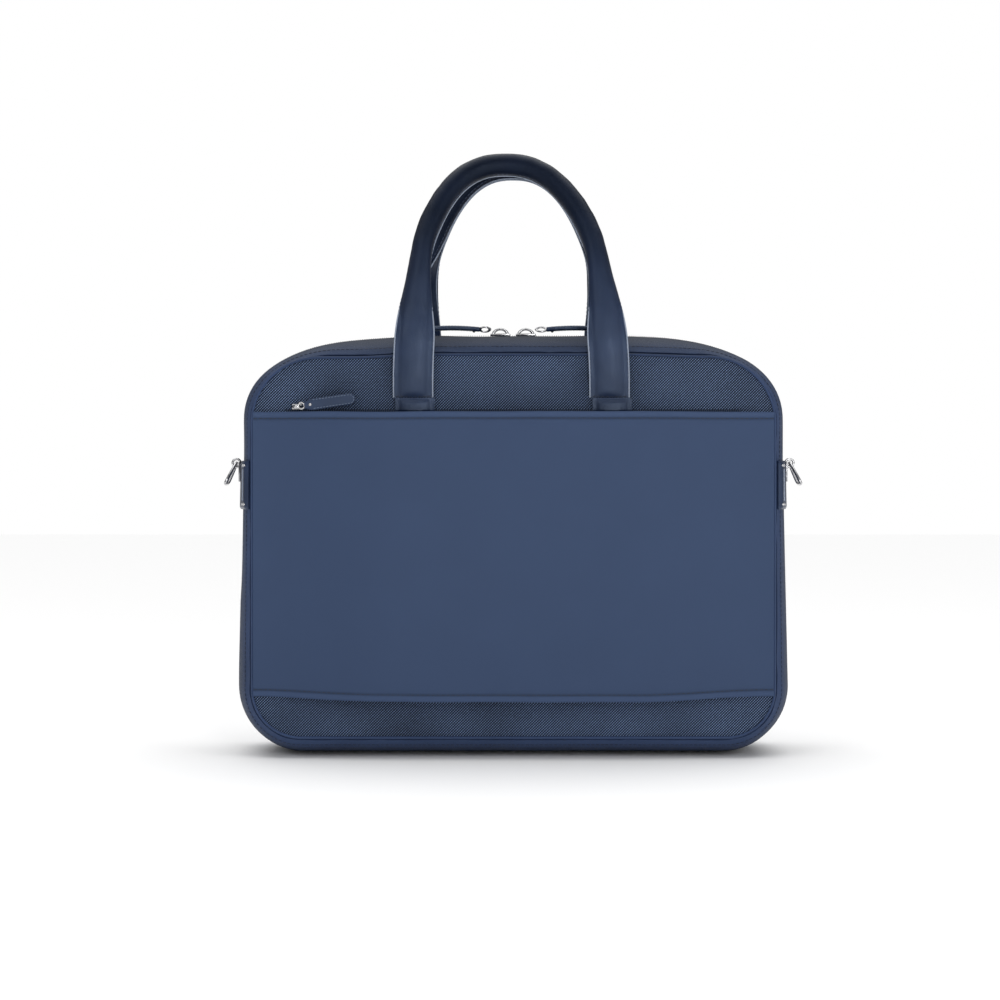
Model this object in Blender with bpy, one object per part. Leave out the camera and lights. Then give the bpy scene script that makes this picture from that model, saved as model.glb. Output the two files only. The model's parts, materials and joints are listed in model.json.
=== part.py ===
"""Soft laptop briefcase with two carrying handles, a zipped main compartment and a trolley sleeve.

Frame: metres, +Z up, X along the width. The sleeve side faces -Y, the pocket side faces +Y, and the
origin is under the middle of the bag on the surface that it stands on.
"""

import math

import bpy
from mathutils import Matrix, Vector

# Driving dimensions
WIDTH = 0.410
HEIGHT = 0.310
TOP_RADIUS = 0.072
BOTTOM_RADIUS = 0.050
REAR_Y = -0.0480  # outer face of the rear panel
FRONT_Y = 0.0552  # outer face of the front panel
BULGE = 0.015  # how far the gusset stands beyond the panel seams
TAPER = 0.0045  # how much further in the gusset's widest line is from the zip's ends upwards
FLAT_SHARE = 0.55  # middle share of the gusset's depth that is flat
GAP = 0.0003  # between pieces that touch

PANEL_T = 0.0015
FOAM_T = 0.0050
LINING_T = 0.0008
GUSSET_T = 0.0020
PIPING_R = 0.0013

ZIP_Y = 0.0038  # line of the main zip
ZIP_END_Z = 0.2180  # where the main zip ends on both sides, and the front flap folds
ZIP_HALF = 0.0130  # tape width on each side of the zip line
COIL_R = 0.0022

SLEEVE_LOW, SLEEVE_HIGH = 0.045, 0.252
SLEEVE_HALF = 0.1845
SLEEVE_FLAT = 0.0860  # half of the middle stretch that stands clear of the panel
SLEEVE_T = 0.0014
SLEEVE_STAND_OFF = 0.0133  # room for the tubes of a pull handle

FRONT_POCKET_TOP, FRONT_POCKET_T = 0.196, 0.0023

STITCH_Z = 0.2620  # stitch row where each handle leg is sewn down
LEG_X = 0.0715
LEG_W, LEG_T = 0.0280, 0.0040
ANCHOR_LENGTH = 0.0400
ANCHOR_T = 0.0008  # the flat end of each leg, sewn to the panel
GRIP_W, GRIP_T = 0.0160, 0.0190
HANDLE_TOP_Z = 0.4370  # middle of the grip
HANDLE_BEND = 2.3  # exponent of the handle's arch
LEAN_Z = 0.3020  # above this the two handles lean towards each other
REAR_GRIP_Y, FRONT_GRIP_Y = -0.0070, 0.0146

SLIDER_X = 0.0095  # middle of each top slider from the middle of the bag
TOP_PULLER, POCKET_PULLER = 0.0420, 0.0340  # lengths of the leather pullers
PULLER_RISE = math.radians(8)  # how much the rear pocket's puller points upwards at rest
RING_TILT = math.radians(26)
PIPING_BREAK = 0.0022  # the front piping stops short of the fold, so that it doesn't pinch

MID_Y = (REAR_Y + FRONT_Y) / 2
HALF_DEPTH = (FRONT_Y - REAR_Y) / 2
FOLD_LINE = (0.0, FRONT_Y, ZIP_END_Z)

COLOURS = {  # base colour, roughness, metallic
    "woven_cloth": ((0.028, 0.045, 0.085), 0.85, 0.0),
    "smooth_cloth": ((0.045, 0.075, 0.145), 0.60, 0.0),
    "sleeve_cloth": ((0.052, 0.080, 0.150), 0.45, 0.0),
    "leather": ((0.012, 0.018, 0.036), 0.45, 0.0),
    "tape": ((0.018, 0.030, 0.062), 0.80, 0.0),
    "metal": ((0.720, 0.720, 0.700), 0.20, 1.0),
    "foam": ((0.250, 0.250, 0.270), 0.95, 0.0),
    "lining": ((0.090, 0.110, 0.160), 0.75, 0.0),
    "board": ((0.040, 0.040, 0.045), 0.70, 0.0),
}


def material(slot):
    found = bpy.data.materials.get(slot)
    if found:
        return found
    colour, roughness, metallic = COLOURS[slot]
    made = bpy.data.materials.new(slot)
    made.use_nodes = True
    shader = made.node_tree.nodes["Principled BSDF"]
    shader.inputs["Base Color"].default_value = (*colour, 1.0)
    shader.inputs["Roughness"].default_value = roughness
    shader.inputs["Metallic"].default_value = metallic
    return made


def add_mesh(name, points, faces, slot, origin=(0, 0, 0)):
    """An object whose mesh has those points, given in the bag's frame, with its origin on a joint's axis."""
    origin = Vector(origin)
    mesh = bpy.data.meshes.new(name)
    mesh.from_pydata([Vector(p) - origin for p in points], [], faces)
    mesh.validate()
    mesh.shade_smooth()
    mesh.set_sharp_from_angle(angle=math.radians(35))
    mesh.materials.append(material(slot))
    made = bpy.data.objects.new(name, mesh)
    made.location = origin
    bpy.context.collection.objects.link(made)
    return made


def face_outwards(made):
    """Turns the faces out where the loft ran the other way."""
    mesh = made.data
    volume = 0.0
    mesh.calc_loop_triangles()
    for triangle in mesh.loop_triangles:
        a, b, c = (mesh.vertices[i].co for i in triangle.vertices)
        volume += a.dot(b.cross(c))
    if volume < 0:
        mesh.flip_normals()
    return made


def loft(name, rings, slot, closed=False, origin=(0, 0, 0)):
    """A skin over rings of equally many points, with end faces unless it closes on itself."""
    count, size = len(rings), len(rings[0])
    points = [p for ring in rings for p in ring]
    faces = []
    for i in range(count if closed else count - 1):
        j = (i + 1) % count
        for k in range(size):
            m = (k + 1) % size
            faces.append((i * size + k, i * size + m, j * size + m, j * size + k))
    if not closed:
        faces.append(tuple(reversed(range(size))))
        faces.append(tuple(range((count - 1) * size, count * size)))
    return face_outwards(add_mesh(name, points, faces, slot, origin))


def block(name, low, high, slot, bevel=0.0, origin=(0, 0, 0)):
    """A box between two corners, with its edges rounded by a live Bevel."""
    (x0, y0, z0), (x1, y1, z1) = low, high
    rings = [[(x, y0, z0), (x, y1, z0), (x, y1, z1), (x, y0, z1)] for x in (x0, x1)]
    made = loft(name, rings, slot, origin=origin)
    if bevel:
        rounded = made.modifiers.new("round_edges", "BEVEL")
        rounded.width = bevel
        rounded.segments = 2
        rounded.limit_method = "ANGLE"
    return made


# The bag's outline


def arc(centre_x, centre_z, radius, start, end, steps):
    """Points on a quarter arc, angles in degrees from +X towards +Z."""
    for i in range(steps + 1):
        angle = math.radians(start + (end - start) * i / steps)
        yield centre_x + radius * math.cos(angle), centre_z + radius * math.sin(angle)


def upper_half(inset):
    """Half the width above the zip's ends: the gusset tapers, and the panels inside its seams don't."""
    return WIDTH / 2 - inset - TAPER * max(0.0, 1 - inset / BULGE)


def upper_outline(inset, low=ZIP_END_Z, steps=10):
    """(x, z) from the right side at height low, over the top, to the left side."""
    half, top, radius = upper_half(inset), HEIGHT - inset, TOP_RADIUS - inset
    points = [(half, low)]
    points += arc(half - radius, top - radius, radius, 0, 90, steps)
    points.append((0.0, top))
    points += arc(radius - half, top - radius, radius, 90, 180, steps)
    points.append((-half, low))
    return points


def lower_outline(inset, high=ZIP_END_Z - GAP, steps=8):
    """(x, z) from the left side at height high, under the bottom, to the right side."""
    half, bottom, radius = WIDTH / 2 - inset, inset, BOTTOM_RADIUS - inset
    points = [(-upper_half(inset), high)]
    points += arc(radius - half, bottom + radius, radius, 180, 270, steps)
    points += arc(half - radius, bottom + radius, radius, 270, 360, steps)
    points.append((upper_half(inset), high))
    return points


def whole_outline(inset):
    return lower_outline(inset)[1:-1] + upper_outline(inset)[1:-1]


def gusset_inset(y):
    """How far the gusset's outer face lies inside its widest line at depth y."""
    share = abs(y - MID_Y) / (HALF_DEPTH - PANEL_T)
    t = min(1.0, max(0.0, (share - FLAT_SHARE) / (1 - FLAT_SHARE)))
    return BULGE * (1 - math.sqrt(1 - t * t))


def spread(start, end, count):
    return [start + (end - start) * i / (count - 1) for i in range(count)]


def band_rings(outline, profile):
    """One section for each point of the outline, with a corner for each (depth, inset)."""
    lines = [outline(inset) for _, inset in profile]
    rings = []
    for i in range(len(lines[0])):
        rings.append([(line[i][0], y, line[i][1]) for line, (y, _) in zip(lines, profile)])
    return rings


def band(name, outline, depths, outer, inner, slot, origin=(0, 0, 0)):
    """A strip of the gusset over those depths, between two insets below the gusset's outer face."""
    profile = [(y, gusset_inset(y) + outer) for y in depths]
    profile += [(y, gusset_inset(y) + inner) for y in reversed(depths)]
    return loft(name, band_rings(outline, profile), slot, origin=origin)


def slab(name, outline, y0, y1, slot, origin=(0, 0, 0)):
    """A flat panel of that outline between two depths."""
    rings = [[(x, y, z) for x, z in outline] for y in (y0, y1)]
    return loft(name, rings, slot, origin=origin)


# Tubes, rings and straps


def across(direction, hint):
    side = direction.cross(hint).normalized()
    return side, side.cross(direction).normalized()


def tube(name, path, radius, slot, hint, closed=False, sides=6, origin=(0, 0, 0)):
    """A round bar along a path that lies in the plane square to hint."""
    path, hint, rings = [Vector(p) for p in path], Vector(hint), []
    for i, point in enumerate(path):
        before = path[i - 1] if closed or i else point
        after = path[(i + 1) % len(path)] if closed or i + 1 < len(path) else point
        side, up = across((after - before).normalized(), hint)
        turn = [2 * math.pi * (k + 0.5) / sides for k in range(sides)]
        rings.append([point + radius * (side * math.cos(a) + up * math.sin(a)) for a in turn])
    return loft(name, rings, slot, closed, origin)


def strap_ring(section_w, section_t, point, along, hint, sides=12):
    """One soft-cornered section of a strap."""
    side, up = across(along, hint)
    ring = []
    for k in range(sides):
        a = 2 * math.pi * (k + 0.5) / sides
        c, s = math.cos(a), math.sin(a)
        wide = math.copysign(abs(c) ** 0.5, c) * section_w / 2
        deep = math.copysign(abs(s) ** 0.5, s) * section_t / 2
        ring.append(point + side * wide + up * deep)
    return ring


# Panels, padding and gussets


def make_rear_side():
    slab("rear_panel", whole_outline(BULGE), REAR_Y, REAR_Y + PANEL_T, "woven_cloth")
    foam = REAR_Y + PANEL_T + GAP
    inside = BULGE + GUSSET_T + 0.0010
    slab("rear_foam", whole_outline(inside), foam, foam + FOAM_T, "foam")
    lining = foam + FOAM_T + GAP
    slab("rear_lining", whole_outline(inside), lining, lining + LINING_T, "lining")


def make_front_side():
    inside = BULGE + GUSSET_T + 0.0010
    foam = FRONT_Y - PANEL_T - GAP
    lining = foam - FOAM_T - GAP
    layers = (
        ("panel", BULGE, FRONT_Y - PANEL_T, FRONT_Y, "woven_cloth"),
        ("foam", inside, foam - FOAM_T, foam, "foam"),
        ("lining", inside, lining - LINING_T, lining, "lining"),
    )
    for layer, inset, near, far, slot in layers:
        slab(f"front_{layer}_lower", lower_outline(inset), near, far, slot)
        slab(f"front_{layer}_upper", upper_outline(inset), near, far, slot, FOLD_LINE)


def make_gussets():
    near, far = REAR_Y + PANEL_T + GAP, FRONT_Y - PANEL_T - GAP
    edges = 4
    depths = spread(near, MID_Y - FLAT_SHARE * HALF_DEPTH, edges + 3)
    depths += spread(MID_Y + FLAT_SHARE * HALF_DEPTH, far, edges + 3)
    band("lower_gusset", lower_outline, depths, 0, GUSSET_T, "smooth_cloth")
    rear = spread(near, ZIP_Y - ZIP_HALF - GAP, 8)
    band("rear_top_gusset", upper_outline, rear, 0, GUSSET_T, "smooth_cloth")
    front = spread(ZIP_Y + ZIP_HALF + GAP, far, 8)
    band("front_top_gusset", upper_outline, front, 0, GUSSET_T, "smooth_cloth", FOLD_LINE)
    inner = PANEL_T + FOAM_T + LINING_T + 4 * GAP
    inner_depths = spread(REAR_Y + inner, FRONT_Y - inner, 9)
    skin = GUSSET_T + 3 * GAP
    band("gusset_lining", lower_outline, inner_depths, skin, skin + LINING_T, "lining")


def make_piping():
    path = [(x, REAR_Y - PIPING_R - GAP, z) for x, z in whole_outline(BULGE + PIPING_R)]
    tube("rear_piping", path, PIPING_R, "smooth_cloth", (0, 1, 0), closed=True)
    y = FRONT_Y + PIPING_R + GAP
    low = [(x, y, z) for x, z in lower_outline(BULGE + PIPING_R)]
    tube("front_piping_lower", low, PIPING_R, "smooth_cloth", (0, 1, 0))
    top = [(x, y, z) for x, z in upper_outline(BULGE + PIPING_R, ZIP_END_Z + PIPING_BREAK)]
    tube("front_piping_upper", top, PIPING_R, "smooth_cloth", (0, 1, 0), origin=FOLD_LINE)


def make_inside():
    board_z = BULGE * 0.13 + GUSSET_T + LINING_T + 2 * GAP
    low, high = (-0.140, MID_Y - 0.030, board_z), (0.140, MID_Y + 0.030, board_z + 0.0025)
    block("base_board", low, high, "board")
    floor = high[2] + GAP
    half = WIDTH / 2 - 0.040
    low, high = (-half, -0.0200, floor), (half, -0.0120, 0.235)
    block("laptop_divider", low, high, "lining", 0.0030)
    low, high = (-0.150, -0.0120 + GAP, 0.060), (0.150, -0.0120 + GAP + 0.0010, 0.170)
    block("organiser_pocket", low, high, "lining")
    face = REAR_Y + PANEL_T + FOAM_T + LINING_T + 3 * GAP
    block("laptop_strap", (-0.020, face, 0.120), (0.020, face + 0.0018, 0.270), "tape")


# Zips


def zip_half(name, side, origin=(0, 0, 0)):
    """One tape of the main zip with its coil along the meeting edge; side is -1 rear or +1 front."""
    tape_edge = ZIP_Y + side * ZIP_HALF
    coil_out, coil_in = ZIP_Y + side * COIL_R, ZIP_Y + side * GAP
    tape_top, tape_low, coil_top, coil_low = 0.0003, 0.0012, -0.0006, 0.0016
    profile = [
        (tape_edge, tape_top),
        (coil_out, tape_top),
        (coil_out, coil_top),
        (coil_in, coil_top),
        (coil_in, coil_low),
        (coil_out, coil_low),
        (coil_out, tape_low),
        (tape_edge, tape_low),
    ]
    return loft(name, band_rings(upper_outline, profile), "tape", origin=origin)


def slider_with_bridge(name, centre, length_axis, up_axis, size):
    """A zip slider: a tapered top plate with an arched bridge, as one body."""
    length, width, thick, rise = size
    along, up = Vector(length_axis), Vector(up_axis)
    side = up.cross(along)
    centre = Vector(centre)
    outline = []
    for share, spread_share in ((-0.5, 0.36), (-0.1, 0.5), (0.38, 0.5), (0.5, 0.34)):
        outline.append((share * length, spread_share * width))
    shape = outline + [(a, -b) for a, b in reversed(outline)]
    rings = []
    for height in (0.0, thick):
        rings.append([centre + along * a + side * b + up * height for a, b in shape])
    plate = loft(name, rings, "metal", origin=centre)
    steps = 8
    path = []
    for i in range(steps + 1):
        angle = math.pi * i / steps
        flat = centre - along * (0.40 * length * math.cos(angle))
        path.append(flat + up * (thick * 0.7 + (rise - thick * 0.7) * math.sin(angle)))
    bridge = tube(name + "_bridge", path, width * 0.085, "metal", side)
    return join_with_boolean(plate, bridge)


def join_with_boolean(base, extra):
    """Unites extra into base and removes extra, leaving one closed body."""
    union = base.modifiers.new("unite", "BOOLEAN")
    union.operation = "UNION"
    union.solver = "EXACT"
    union.object = extra
    bpy.context.view_layer.update()
    graph = bpy.context.evaluated_depsgraph_get()
    result = bpy.data.meshes.new_from_object(base.evaluated_get(graph))
    base.modifiers.clear()
    base.data = result
    bpy.data.objects.remove(extra)
    return base


def link_and_puller(name, hinge, direction, up, length):
    """A wire link and a rounded leather puller that leave the hinge point in a direction."""
    direction, up, hinge = Vector(direction), Vector(up), Vector(hinge)
    side = up.cross(direction)
    link_length, link_half = 0.0090, 0.0022
    path = []
    for i in range(12):
        angle = 2 * math.pi * i / 12
        along = link_length / 2 * (1 - math.cos(angle))
        path.append(hinge + direction * along + side * (link_half * math.sin(angle)))
    tube(f"{name}_link", path, 0.0006, "metal", up, closed=True, origin=hinge)
    start = hinge + direction * (link_length + 0.0012)
    half, thick = 0.0036, 0.0012
    outline = [(0.0, -half * 0.55), (0.004, -half)]
    for i in range(7):
        angle = math.radians(-90 + 30 * i)
        outline.append((length - half + half * math.cos(angle), half * math.sin(angle)))
    outline += [(0.004, half), (0.0, half * 0.55)]
    rings = []
    for height in (-thick, thick):
        rings.append([start + direction * a + side * b + up * height for a, b in outline])
    loft(f"{name}_puller", rings, "leather", origin=hinge)


def make_main_zip():
    zip_half("rear_zip_tape", -1)
    zip_half("front_zip_tape", 1, FOLD_LINE)
    size = (0.0130, 0.0075, 0.0018, 0.0062)
    for side, word in ((-1, "left"), (1, "right")):
        centre = (side * SLIDER_X, ZIP_Y - 0.0045, HEIGHT + 0.0009)
        slider_with_bridge(f"top_slider_{word}", centre, (side, 0, 0), (0, 0, 1), size)
        hinge = Vector(centre) + Vector((side * 0.0070, 0, 0.0040))
        link_and_puller(f"top_{word}", hinge, (side, 0, 0), (0, 0, 1), TOP_PULLER)


def make_pocket_zip(word, face, out, height, half, slider_x, pointing):
    """A zip on a panel's face that looks along out, -1 or +1, with its puller pointing that way."""
    stand_off = 2 * GAP + ANCHOR_T
    low, high = sorted((face + out * stand_off, face + out * (stand_off + 0.0009)))
    block(f"{word}_pocket_zip", (-half, low, height - 0.0030), (half, high, height + 0.0030), "tape")
    size = (0.0095, 0.0062, 0.0016, 0.0042)
    centre = (slider_x, face + out * (stand_off + 0.0009 + GAP), height)
    slider_with_bridge(f"{word}_pocket_slider", centre, (1, 0, 0), (0, out, 0), size)
    hinge = Vector(centre) + Vector((0.0050, out * 0.0040, 0.0008))
    link_and_puller(f"{word}_pocket", hinge, pointing, (0, out, 0), POCKET_PULLER)


def make_front_pocket():
    inset = BULGE + 2 * PIPING_R + 0.0015
    outline = lower_outline(inset, FRONT_POCKET_TOP)
    slab("front_pocket_panel", outline, FRONT_Y + GAP, FRONT_Y + FRONT_POCKET_T, "woven_cloth")
    hanging = (0, 0, -1)
    make_pocket_zip("front", FRONT_Y, 1, FRONT_POCKET_TOP + 0.0045, 0.168, -0.150, hanging)


# Trolley sleeve


def sleeve_stand_off(x):
    """How far the sleeve's inner face stands off the rear panel at that place across the bag."""
    t = min(1.0, max(0.0, (SLEEVE_HALF - abs(x)) / (SLEEVE_HALF - SLEEVE_FLAT)))
    return GAP + SLEEVE_STAND_OFF * (t * t * (3 - 2 * t))


def make_sleeve():
    slope = spread(SLEEVE_FLAT, SLEEVE_HALF, 8)
    places = [-x for x in reversed(slope)] + [-SLEEVE_FLAT / 2, 0.0, SLEEVE_FLAT / 2] + slope
    rings = []
    for height in (SLEEVE_LOW, SLEEVE_HIGH):
        outer = [(x, REAR_Y - sleeve_stand_off(x) - SLEEVE_T, height) for x in places]
        inner = [(x, REAR_Y - sleeve_stand_off(x), height) for x in reversed(places)]
        rings.append(outer + inner)
    loft("trolley_sleeve", rings, "sleeve_cloth")


# Handles


def handle_frame(share, base_y, grip_y):
    """Middle of the strap at a share of the arch from 0, left leg, to 1, right leg."""
    angle = math.pi * share
    c, s = math.cos(angle), math.sin(angle)
    power = 2 / HANDLE_BEND
    x = -math.copysign(abs(c) ** power, c) * LEG_X
    rise = abs(s) ** power
    z = STITCH_Z + GAP + rise * (HANDLE_TOP_Z - STITCH_Z)
    lean = max(0.0, (z - LEAN_Z) / (HANDLE_TOP_Z - LEAN_Z)) ** 1.25
    step = min(1.0, max(0.0, (z - STITCH_Z) / 0.018))
    over_piping = 2.2 * PIPING_R * step * step * (3 - 2 * step) * (1 - lean)
    y = base_y + math.copysign(over_piping, base_y) + (grip_y - base_y) * lean
    return Vector((x, y, z)), rise


def make_handle(word, face, out, grip_y):
    """A padded leather strap, flat on the panel at both legs and rolled into a grip on top."""
    base_y = face + out * (2 * GAP + LEG_T / 2)
    hinge = (0.0, face + out * (2 * GAP + LEG_T), STITCH_Z + GAP)
    shares = [0.0, 0.012, 0.03, 0.05, 0.075, 0.105] + spread(0.15, 0.85, 21)
    shares += [0.895, 0.925, 0.95, 0.97, 0.988, 1.0]
    frames = [handle_frame(share, base_y, grip_y) for share in shares]
    rings = []
    for i, (point, rise) in enumerate(frames):
        before, after = frames[max(0, i - 1)][0], frames[min(len(frames) - 1, i + 1)][0]
        along = (after - before).normalized()
        if i in (0, len(frames) - 1):
            along = Vector((0, 0, 1 if i == 0 else -1))
        rolled = min(1.0, max(0.0, (rise - 0.45) / 0.45))
        rolled = rolled * rolled * (3 - 2 * rolled)
        wide = LEG_W + (GRIP_W - LEG_W) * rolled
        deep = LEG_T + (GRIP_T - LEG_T) * rolled
        rings.append(strap_ring(wide, deep, point, along, Vector((0, 1, 0))))
    loft(f"{word}_handle", rings, "leather", origin=hinge)
    near, far = sorted((face + out * GAP, face + out * (GAP + ANCHOR_T)))
    for side, end in ((-1, "left"), (1, "right")):
        low = (side * LEG_X - LEG_W / 2, near, STITCH_Z - ANCHOR_LENGTH)
        high = (side * LEG_X + LEG_W / 2, far, STITCH_Z)
        block(f"{word}_handle_anchor_{end}", low, high, "leather")


# Side tabs and strap rings


def make_side_hardware(side, word):
    """A leather tab over the end of the main zip, with an eye and a hanging strap ring."""
    face = upper_half(0) + TAPER / 4 + GAP
    x0, x1 = sorted((side * face, side * (face + 0.0020)))
    low, high = (x0, ZIP_Y - 0.0125, 0.1810), (x1, ZIP_Y + 0.0125, 0.2165)
    block(f"side_tab_{word}", low, high, "leather", 0.0006)
    eye_centre = Vector((side * (face + 0.0057), ZIP_Y, 0.2150))
    path = []
    for i in range(10):
        angle = 2 * math.pi * i / 10
        path.append(eye_centre + Vector((0.0024 * math.cos(angle), 0, 0.0024 * math.sin(angle))))
    eye = tube(f"strap_eye_{word}", path, 0.0008, "metal", (0, 1, 0), closed=True)
    x_in, x_out = side * (face + 0.0020 + GAP), side * (face + 0.0032)
    x0, x1 = sorted((x_in, x_out))
    plate = block(
        f"strap_eye_plate_{word}", (x0, ZIP_Y - 0.0045, 0.2010), (x1, ZIP_Y + 0.0045, 0.2160), "metal"
    )
    join_with_boolean(eye, plate)
    eye.data.materials.clear()
    eye.data.materials.append(material("metal"))
    make_strap_ring(side, word, eye_centre)


def make_strap_ring(side, word, eye_centre):
    """A delta ring through the eye, which hangs tilted away from the tab."""
    corners = [(0.0, 0.0018), (0.0030, 0.0040), (0.0150, 0.0098), (0.0172, 0.0080), (0.0172, 0.0)]
    outline = [(down, half) for down, half in corners]
    outline += [(down, -half) for down, half in reversed(corners[:-1])]
    turn = Matrix.Rotation(-side * RING_TILT, 3, "Y")
    path = []
    for down, half in outline:
        path.append(eye_centre + turn @ Vector((0.0, half, -down)))
    plane = turn @ Vector((1, 0, 0))
    tube(f"strap_ring_{word}", path, 0.0011, "metal", plane, closed=True, origin=eye_centre)


def clear_scene():
    for found in list(bpy.data.objects):
        bpy.data.objects.remove(found)


def main():
    clear_scene()
    make_rear_side()
    make_front_side()
    make_gussets()
    make_piping()
    make_inside()
    make_main_zip()
    make_sleeve()
    resting = (math.cos(PULLER_RISE), 0, math.sin(PULLER_RISE))
    make_pocket_zip("rear", REAR_Y, -1, SLEEVE_HIGH + 0.0035, 0.165, -0.157, resting)
    make_front_pocket()
    make_handle("rear", REAR_Y, -1, REAR_GRIP_Y)
    make_handle("front", FRONT_Y, 1, FRONT_GRIP_Y)
    for side, word in ((-1, "left"), (1, "right")):
        make_side_hardware(side, word)


main()
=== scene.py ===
# %% [markdown]
# # A soft laptop briefcase with a trolley sleeve
#
# The frame of the bag is already built: its panels, bands, zips, handles and rings stand in the right
# places and turn on their joints. This lesson puts the real skins on that frame. Cloth becomes cloth with
# a weave, seams and puckers, leather gets its padding and stitches, and metal gets round edges.
# The sleeve side of the bag looks towards -Y, +Z is up, and every size is in metres.

# %% Load the frame
import json
import math

import bmesh
import bpy
from mathutils import Matrix, Vector, noise
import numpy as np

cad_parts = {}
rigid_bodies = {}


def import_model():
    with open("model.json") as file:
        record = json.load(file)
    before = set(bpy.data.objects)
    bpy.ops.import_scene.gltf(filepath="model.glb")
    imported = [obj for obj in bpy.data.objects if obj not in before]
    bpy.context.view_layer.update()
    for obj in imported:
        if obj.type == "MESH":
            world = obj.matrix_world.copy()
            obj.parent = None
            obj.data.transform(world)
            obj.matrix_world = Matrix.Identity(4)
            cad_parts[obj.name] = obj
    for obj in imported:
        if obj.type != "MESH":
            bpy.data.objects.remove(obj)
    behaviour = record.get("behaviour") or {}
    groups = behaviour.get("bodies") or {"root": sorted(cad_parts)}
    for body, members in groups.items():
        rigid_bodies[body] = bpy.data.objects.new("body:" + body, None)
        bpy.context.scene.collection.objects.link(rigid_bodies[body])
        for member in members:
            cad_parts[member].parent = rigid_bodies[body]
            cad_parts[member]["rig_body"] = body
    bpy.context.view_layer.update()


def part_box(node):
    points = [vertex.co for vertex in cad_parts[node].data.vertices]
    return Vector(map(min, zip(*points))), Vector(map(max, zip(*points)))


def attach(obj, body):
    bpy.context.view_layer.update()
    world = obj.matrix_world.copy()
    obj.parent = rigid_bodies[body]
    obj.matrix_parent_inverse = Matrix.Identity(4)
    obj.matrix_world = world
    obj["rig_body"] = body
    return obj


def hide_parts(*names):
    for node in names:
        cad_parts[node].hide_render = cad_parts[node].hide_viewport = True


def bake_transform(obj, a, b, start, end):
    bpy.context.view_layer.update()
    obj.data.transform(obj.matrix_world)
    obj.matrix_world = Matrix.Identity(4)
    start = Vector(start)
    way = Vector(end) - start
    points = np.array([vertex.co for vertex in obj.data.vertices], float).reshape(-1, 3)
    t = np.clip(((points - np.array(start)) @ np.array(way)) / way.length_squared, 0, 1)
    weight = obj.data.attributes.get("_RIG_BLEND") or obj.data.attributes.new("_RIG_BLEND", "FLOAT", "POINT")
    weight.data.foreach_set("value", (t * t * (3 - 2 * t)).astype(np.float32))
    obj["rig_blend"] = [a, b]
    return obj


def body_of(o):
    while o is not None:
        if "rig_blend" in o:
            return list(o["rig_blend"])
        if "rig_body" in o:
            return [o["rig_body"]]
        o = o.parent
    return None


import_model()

# %% [markdown]
# ## Sizes taken from the frame
#
# Nothing here is measured twice. The panels give the seam line, the gusset gives the widest line of the
# bag, and the zips and rings give their own places. Only the radii of the corners and the small sizes of
# thread, piping and leather are new.

# %% Read the driving sizes
panel_low, panel_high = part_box("rear_panel")
_, front_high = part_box("front_panel_lower")
_, gusset_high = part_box("lower_gusset")
top_low, top_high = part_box("rear_top_gusset")
sleeve_low, sleeve_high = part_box("trolley_sleeve")
tape_low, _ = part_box("rear_zip_tape")
REAR, FRONT = panel_low.y, front_high.y
SEAM_HALF, SEAM_LOW, SEAM_HIGH = panel_high.x, panel_low.z, panel_high.z
HALF, TOP, ZIP_END = gusset_high.x, top_high.z, top_low.z
BULGE = HALF - SEAM_HALF
TAPER = HALF - top_high.x
MID = (REAR + FRONT) / 2
HALF_DEPTH = (FRONT - REAR) / 2
ZIP_Y = MID + 0.0002
BOTTOM_RADIUS = 0.050
FLAT_SHARE = 0.02  # share of the depth over which the gusset is flat
PIPING = 0.0013
CORD = 0.0010
print(f"bag {2 * HALF:.3f} m wide, {TOP:.3f} m tall, {2 * HALF_DEPTH:.3f} m between the panels")

# %% [markdown]
# ## Small helpers for working by hand
#
# An operator acts on whatever is selected, so each step starts with nothing selected. `finish` names a
# piece, gives it a finish and says which part of the bag carries it.

# %% Selection and finishing helpers
def deselect_all():
    bpy.ops.object.select_all(action="DESELECT")


def pick(piece):
    deselect_all()
    piece.select_set(True)
    bpy.context.view_layer.objects.active = piece
    return piece


def apply_modifiers(piece):
    pick(piece)
    for modifier in list(piece.modifiers):
        bpy.ops.object.modifier_apply(modifier=modifier.name)
    return piece


def apply_place(piece):
    pick(piece)
    bpy.ops.object.transform_apply(location=True, rotation=True, scale=True)
    return piece


def smooth(piece, degrees):
    pick(piece)
    bpy.ops.object.shade_smooth_by_angle(angle=math.radians(degrees))
    return piece


def edit_all(piece):
    """Opens edit mode on a piece with everything in it selected."""
    pick(piece)
    bpy.ops.object.mode_set(mode="EDIT")
    bpy.ops.mesh.select_all(action="SELECT")


def close_edit(piece):
    bpy.ops.object.mode_set(mode="OBJECT")
    return piece


def recalculate(piece):
    """Merges what meets and turns all faces outwards."""
    edit_all(piece)
    bpy.ops.mesh.remove_doubles(threshold=0.00002)
    bpy.ops.mesh.normals_make_consistent(inside=False)
    return close_edit(piece)


def flip(piece):
    edit_all(piece)
    bpy.ops.mesh.flip_normals()
    return close_edit(piece)


def select_faces(piece, test):
    """Selects the faces for which test(centre, normal) holds, and opens edit mode."""
    pick(piece)
    bpy.ops.object.mode_set(mode="EDIT")
    bpy.ops.mesh.select_mode(type="FACE")
    bpy.ops.mesh.select_all(action="DESELECT")
    bpy.ops.object.mode_set(mode="OBJECT")
    for face in piece.data.polygons:
        face.select = test(face.center, face.normal)
    bpy.ops.object.mode_set(mode="EDIT")


def add_modifier(piece, kind, **settings):
    modifier = piece.modifiers.new(kind.lower(), kind)
    for name, value in settings.items():
        setattr(modifier, name, value)
    return piece


def mesh_object(name, points, faces):
    mesh = bpy.data.meshes.new(name)
    mesh.from_pydata(points, [], faces)
    piece = bpy.data.objects.new(name, mesh)
    bpy.context.collection.objects.link(piece)
    return piece


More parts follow.
